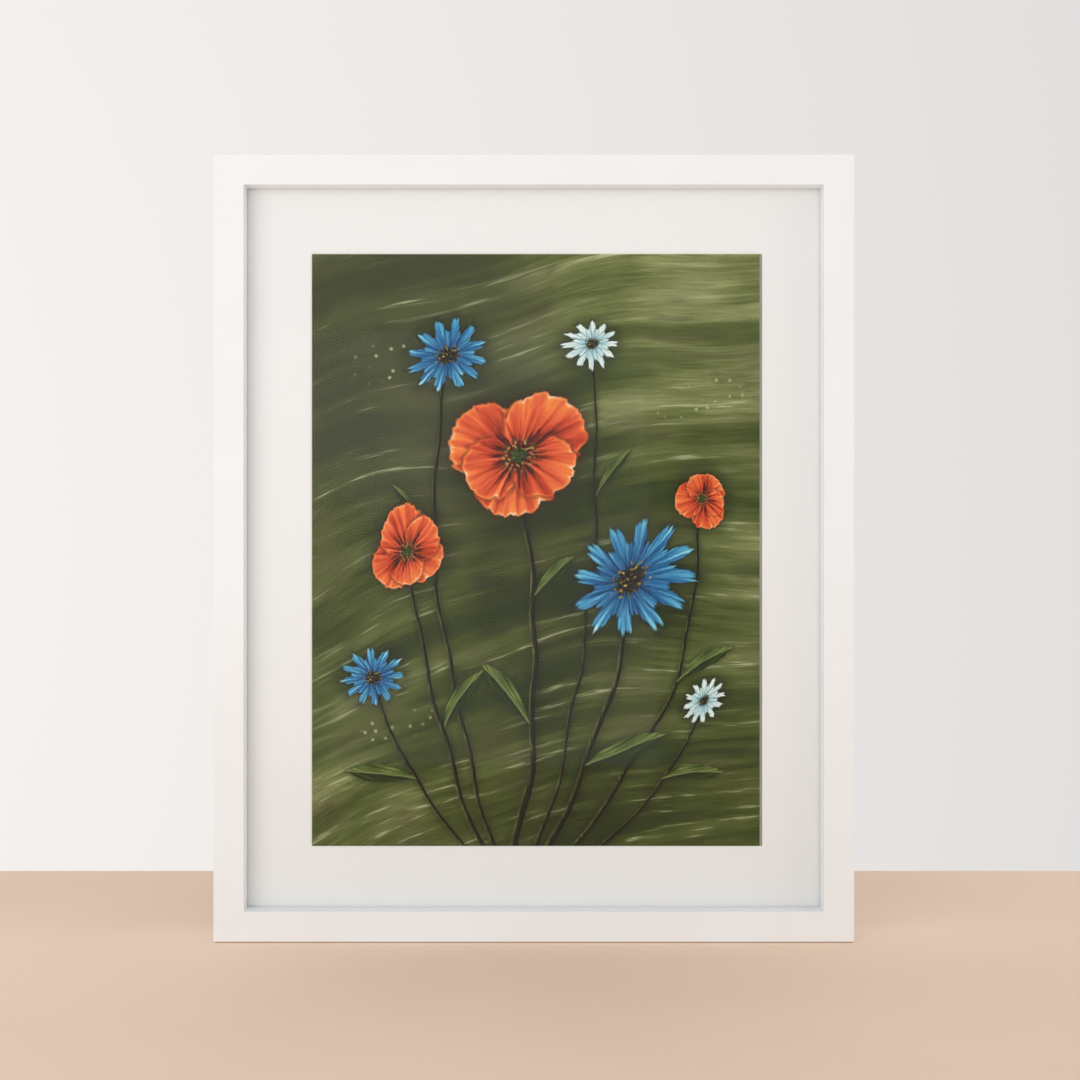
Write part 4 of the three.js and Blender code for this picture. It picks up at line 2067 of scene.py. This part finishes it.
@dataclass
class TurnButtons(SubAssembly):
    """The eight buttons that hold the hardboard in, each on its screw."""

    hub: float = 5 * MM
    tip: float = 3.2 * MM
    reach: float = 17 * MM
    thick: float = 1 * MM
    eye: float = 1.8 * MM
    edge: float = 0.16 * MM
    sides: int = 64

    def build(self) -> None:
        """Makes one button and one screw, and copies them to their places."""
        plate, screw = self.pattern(), ScrewSizes().pattern()
        for node in sorted(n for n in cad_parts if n.startswith("turn_button_")):
            spot = node.removeprefix("turn_button_")
            side = Side[spot.split("_")[0].upper()]
            screw_node = f"button_screw_{spot}"
            at = Box.of(screw_node).middle
            button = Bench.copied(plate, f"catch_{spot}", seat(node, at, side.value))
            self.hand_over(button, f"button_{spot}", Slot.NICKEL, [node], NICKEL)
            fixing = Bench.copied(screw, f"catch_screw_{spot}", screw_seat(screw_node, self.driven(at)))
            self.hand_over(fixing, BODY, Slot.ZINC, [screw_node], ZINC)
        Bench.bin(plate)
        Bench.bin(screw)

    @staticmethod
    def driven(at: Vector) -> float:
        """How far round a screw was driven, in degrees. It differs with the screw's place."""
        return 20 + 50 * at.x / 0.2 + 35 * at.z / 0.5

    def pattern(self) -> Object:
        """Stretches a hoop into the outline, bridges it to the eye and gives it its thickness.

        Returns:
            The button, its tip towards -Y as drawn, which seat() turns towards the middle of the picture.
        """
        tangent = math.acos((self.hub - self.tip) / self.reach)
        piece = Bench.disc("button", self.hub, self.sides, fill="NOTHING")
        with Bench.editing(piece, "VERT"):
            Bench.pick(piece, lambda v: abs(math.atan2(v.co.x, -v.co.y)) < tangent, "verts")
            Bench.resize((self.tip / self.hub, self.tip / self.hub, 1), (0, 0, 0))
            bpy.ops.transform.translate(value=(0, -self.reach, 0))
            bpy.ops.mesh.primitive_circle_add(vertices=self.sides, radius=self.eye, fill_type="NOTHING")
            bpy.ops.mesh.select_all(action="SELECT")
            bpy.ops.mesh.bridge_edge_loops()
            bpy.ops.mesh.select_all(action="SELECT")
            Bench.extrude((0, 0, self.thick))
        Bench.close(piece)
        Bench.ease(piece, self.edge, segments=2, angle=50)
        Bench.smooth(piece)
        return piece


@dataclass
class Hangers(SubAssembly):
    """The two strap hangers with their D-rings and screws."""

    width: float = 9 * MM
    strap: float = 0.9 * MM
    drop: float = 26 * MM
    clear: float = 1.2 * MM
    curl: float = math.radians(255)
    hole: float = 1.8 * MM
    wire: float = 0.9 * MM
    half_width: float = 6.4 * MM
    length: float = 14 * MM
    corner: float = 2.2 * MM
    sides: int = 16
    hole_drop: float = 7.5 * MM
    curl_steps: int = 28
    foot_steps: int = 14
    corner_steps: int = 8
    bow_steps: int = 32
    foot: float = 0.995  # of half the width: a full half would close the foot's edge up
    edge: float = 0.12 * MM
    driven: tuple[float, float] = (15, 62)  # how far round the left and the right screw are, in degrees

    def build(self) -> None:
        """Makes one of each piece and copies it to both sides."""
        plate, ring, screw = self.plate(), self.ring(), ScrewSizes().pattern()
        for name, turn in zip(("left", "right"), self.driven):
            strap_box, screw_node = Box.of(f"hanger_plate_{name}"), f"hanger_screw_{name}"
            wire_box = Box.of(f"hanger_ring_{name}")
            axis = Vector((strap_box.middle.x, wire_box.middle.y, wire_box.high.z - self.wire))
            strap = Bench.copied(plate, f"strap_{name}", Matrix.Translation(axis))
            self.hand_over(strap, BODY, Slot.NICKEL, [f"hanger_plate_{name}"], NICKEL)
            loop = Bench.copied(ring, f"d_ring_{name}", Matrix.Translation(axis))
            self.hand_over(loop, f"ring_{name}", Slot.NICKEL, [f"hanger_ring_{name}"], NICKEL)
            fixing = Bench.copied(screw, f"strap_screw_{name}", screw_seat(screw_node, turn))
            self.hand_over(fixing, BODY, Slot.ZINC, [screw_node], ZINC)
        for pattern in (plate, ring, screw):
            Bench.bin(pattern)

    def foot_corner(self, edge: bmesh.types.BMEdge) -> bool:
        """Says whether an edge runs through the sheet at one of the two corners of the strip's foot."""
        low = all(v.co.z < -self.drop + NEAR for v in edge.verts)
        return low and abs(edge.verts[0].co.y - edge.verts[1].co.y) > self.strap / 2

    def plate(self) -> Object:
        """Rolls a strip's upper end round the ring's axis, rounds its lower end and punches its hole.

        Returns:
            The plate, with the ring's axis along X through the origin and the wood towards -Y.
        """
        inner = self.clear
        outer = inner + self.strap
        half = self.width / 2
        piece = Bench.block("plate", Vector((-half, -outer, -self.drop)), Vector((half, -inner, 0)))
        with Bench.editing(piece):
            Bench.pick(piece, facing(UP))
            Bench.spin(self.curl, self.curl_steps, Vector(), Axis.X.value)
            bpy.ops.mesh.select_mode(type="EDGE")
            Bench.pick(piece, self.foot_corner, "edges")
            bpy.ops.mesh.bevel(offset=half * self.foot, segments=self.foot_steps, affect="EDGES")
        Bench.close(piece)
        Bench.cut(piece, [Bench.plug(self.hole, 4 * outer, (0, -inner, -self.hole_drop), 2 * self.sides)])
        Bench.ease(piece, self.edge, segments=2, angle=50)
        Bench.smooth(piece)
        return piece

    def ring(self) -> Object:
        """Sweeps the wire's round section along the D, from the middle of its bar and back.

        Returns:
            The ring, with its bar along X through the origin.
        """
        Bench.clear()
        bpy.ops.mesh.primitive_circle_add(vertices=self.sides, radius=self.wire, rotation=(0, math.pi / 2, 0))
        piece = Bench.named("ring")
        flat = self.half_width - self.corner
        leg = self.length - self.half_width - self.corner
        quarter, turning = -math.pi / 2, Axis.Y.value
        with Bench.editing(piece, "EDGE"):
            bpy.ops.mesh.select_all(action="SELECT")
            Bench.extrude((flat, 0, 0))
            Bench.spin(quarter, self.corner_steps, Vector((flat, 0, -self.corner)), turning)
            Bench.extrude((0, 0, -leg))
            Bench.spin(2 * quarter, self.bow_steps, Vector((0, 0, -self.corner - leg)), turning)
            Bench.extrude((0, 0, leg))
            Bench.spin(quarter, self.corner_steps, Vector((-flat, 0, -self.corner)), turning)
            Bench.extrude((flat, 0, 0))
        Bench.close(piece)
        Bench.smooth(piece, 60)
        return piece


@dataclass
class FootPads(SubAssembly):
    """The soft domes that keep the frame's lower corners off a wall."""

    radius: float = 5 * MM
    rim: float = 0.8 * MM
    rise: float = 3 * MM
    edge: float = 0.15 * MM
    sides: int = 48
    rings: int = 7

    def build(self) -> None:
        """Draws one dome up from a disc and copies it."""
        pattern = Bench.disc("pad", self.radius, self.sides)
        shape = [(self.radius, self.rim)]
        for i in range(1, self.rings + 1):
            turn = i / (self.rings + 0.5) * math.pi / 2
            shape.append((self.radius * math.cos(turn), self.rim + (self.rise - self.rim) * math.sin(turn)))
        with Bench.editing(pattern):
            Bench.pick(pattern, lambda f: True)
            Bench.raise_rings(self.radius, shape)
            Bench.cap(pattern)
        Bench.close(pattern)
        Bench.ease(pattern, self.edge, segments=2, angle=60)
        Bench.smooth(pattern)
        for name in ("left", "right"):
            node = f"bumper_{name}"
            pad = Bench.copied(pattern, f"foot_pad_{name}", seat(node, Box.of(node).middle))
            self.hand_over(pad, BODY, Slot.RUBBER, [node], SoftRubber())
        Bench.bin(pattern)


# ---- The studio --------------------------------------------------------------------------------------


@dataclass(frozen=True)
class Lamp:
    """A square soft light: its place, its power in watts and its side."""

    name: str
    at: tuple[float, float, float]
    power: float
    side: float = 1.6


@dataclass
class Studio:
    """The floor, the lights and the camera."""

    finishes: Finishes
    eye: tuple[float, float, float] = (-0.012, -1.21975, 0.277)
    lens: float = 59.35
    shift: tuple[float, float] = (0.0222, -0.0083)
    sky: float = 0.645
    glow: float = 0.29
    glow_from: tuple[float, float, float] = (-0.6, 0.8, 0.0)
    glow_focus: float = 4.0
    lamps: tuple[Lamp, ...] = (
        Lamp("key", (-1.371, -1.958, 0.469), 14.5),
        Lamp("front", (-0.5, -2.3, -0.1), 7.5),
        Lamp("fill", (2.25, -0.82, 0.469), 9.5),
    )
    aim: tuple[float, float, float] = (0.0, 0.0, 0.26)
    floor_low: tuple[float, float, float] = (-1.6, -0.9, -0.03)
    floor_high: tuple[float, float] = (1.6, 0.236)
    floor_edge: float = 2 * MM
    contact: float = 0.5 * MM  # what the frame's edge, never quite flat, leaves open over the floor

    def build(self) -> None:
        """Sets up everything round the object."""
        self.add_floor()
        self.add_sky()
        for lamp in self.lamps:
            self.add_light(lamp)
        self.add_camera()

    def add_floor(self) -> None:
        """Lays the plain floor."""
        Bench.clear()
        floor = Bench.block("floor", Vector(self.floor_low), Vector((*self.floor_high, -self.contact)))
        Bench.ease(floor, self.floor_edge)
        Bench.smooth(floor)
        floor.data.materials.append(self.finishes.material(PaleGround()))

    def add_sky(self) -> None:
        """Fills the room with soft light, a little brighter behind the picture at the left."""
        sky = Sky()
        way = sky.node("ShaderNodeTexCoord", {}, out="Generated")
        near = sky.vector("DOT_PRODUCT", way, self.glow_from).scaled(0.5, 0.5)
        pool = sky.math("POWER", sky.math("MAXIMUM", near, 0.0), self.glow_focus)
        sky.finish(pool.scaled(self.glow, self.sky))

    def add_light(self, lamp: Lamp) -> None:
        """Adds a light that faces the picture.

        Args:
            lamp: The light.
        """
        Bench.clear()
        bpy.ops.object.light_add(type="AREA", location=lamp.at)
        light = bpy.context.view_layer.objects.active
        light.name = lamp.name
        light.data.shape, light.data.size, light.data.energy = "SQUARE", lamp.side, lamp.power
        towards = Vector(self.aim) - Vector(lamp.at)
        light.rotation_euler = towards.to_track_quat("-Z", "Y").to_euler()

    def add_camera(self) -> None:
        """Sets the camera level in front of the picture."""
        Bench.clear()
        bpy.ops.object.camera_add(location=self.eye, rotation=(math.pi / 2, 0, 0))
        camera = bpy.context.view_layer.objects.active
        camera.data.lens = self.lens
        camera.data.shift_x, camera.data.shift_y = self.shift
        scene = bpy.context.scene
        scene.camera = camera
        scene.view_settings.view_transform = "Standard"


def main() -> None:
    """Builds the picture and its studio, and logs each piece's face count."""
    logging.basicConfig(level=logging.INFO, format="%(name)s: %(message)s")
    finishes = Finishes()
    mat = MatBoard(finishes)
    for part in (
        Moulding(finishes),
        CornerNails(finishes),
        Pane(finishes),
        mat,
        Print(finishes, mat.middle),
        Backing(finishes),
        TurnButtons(finishes),
        Hangers(finishes),
        FootPads(finishes),
    ):
        part.build()
    Studio(finishes).build()


if __name__ == "__main__":
    main()
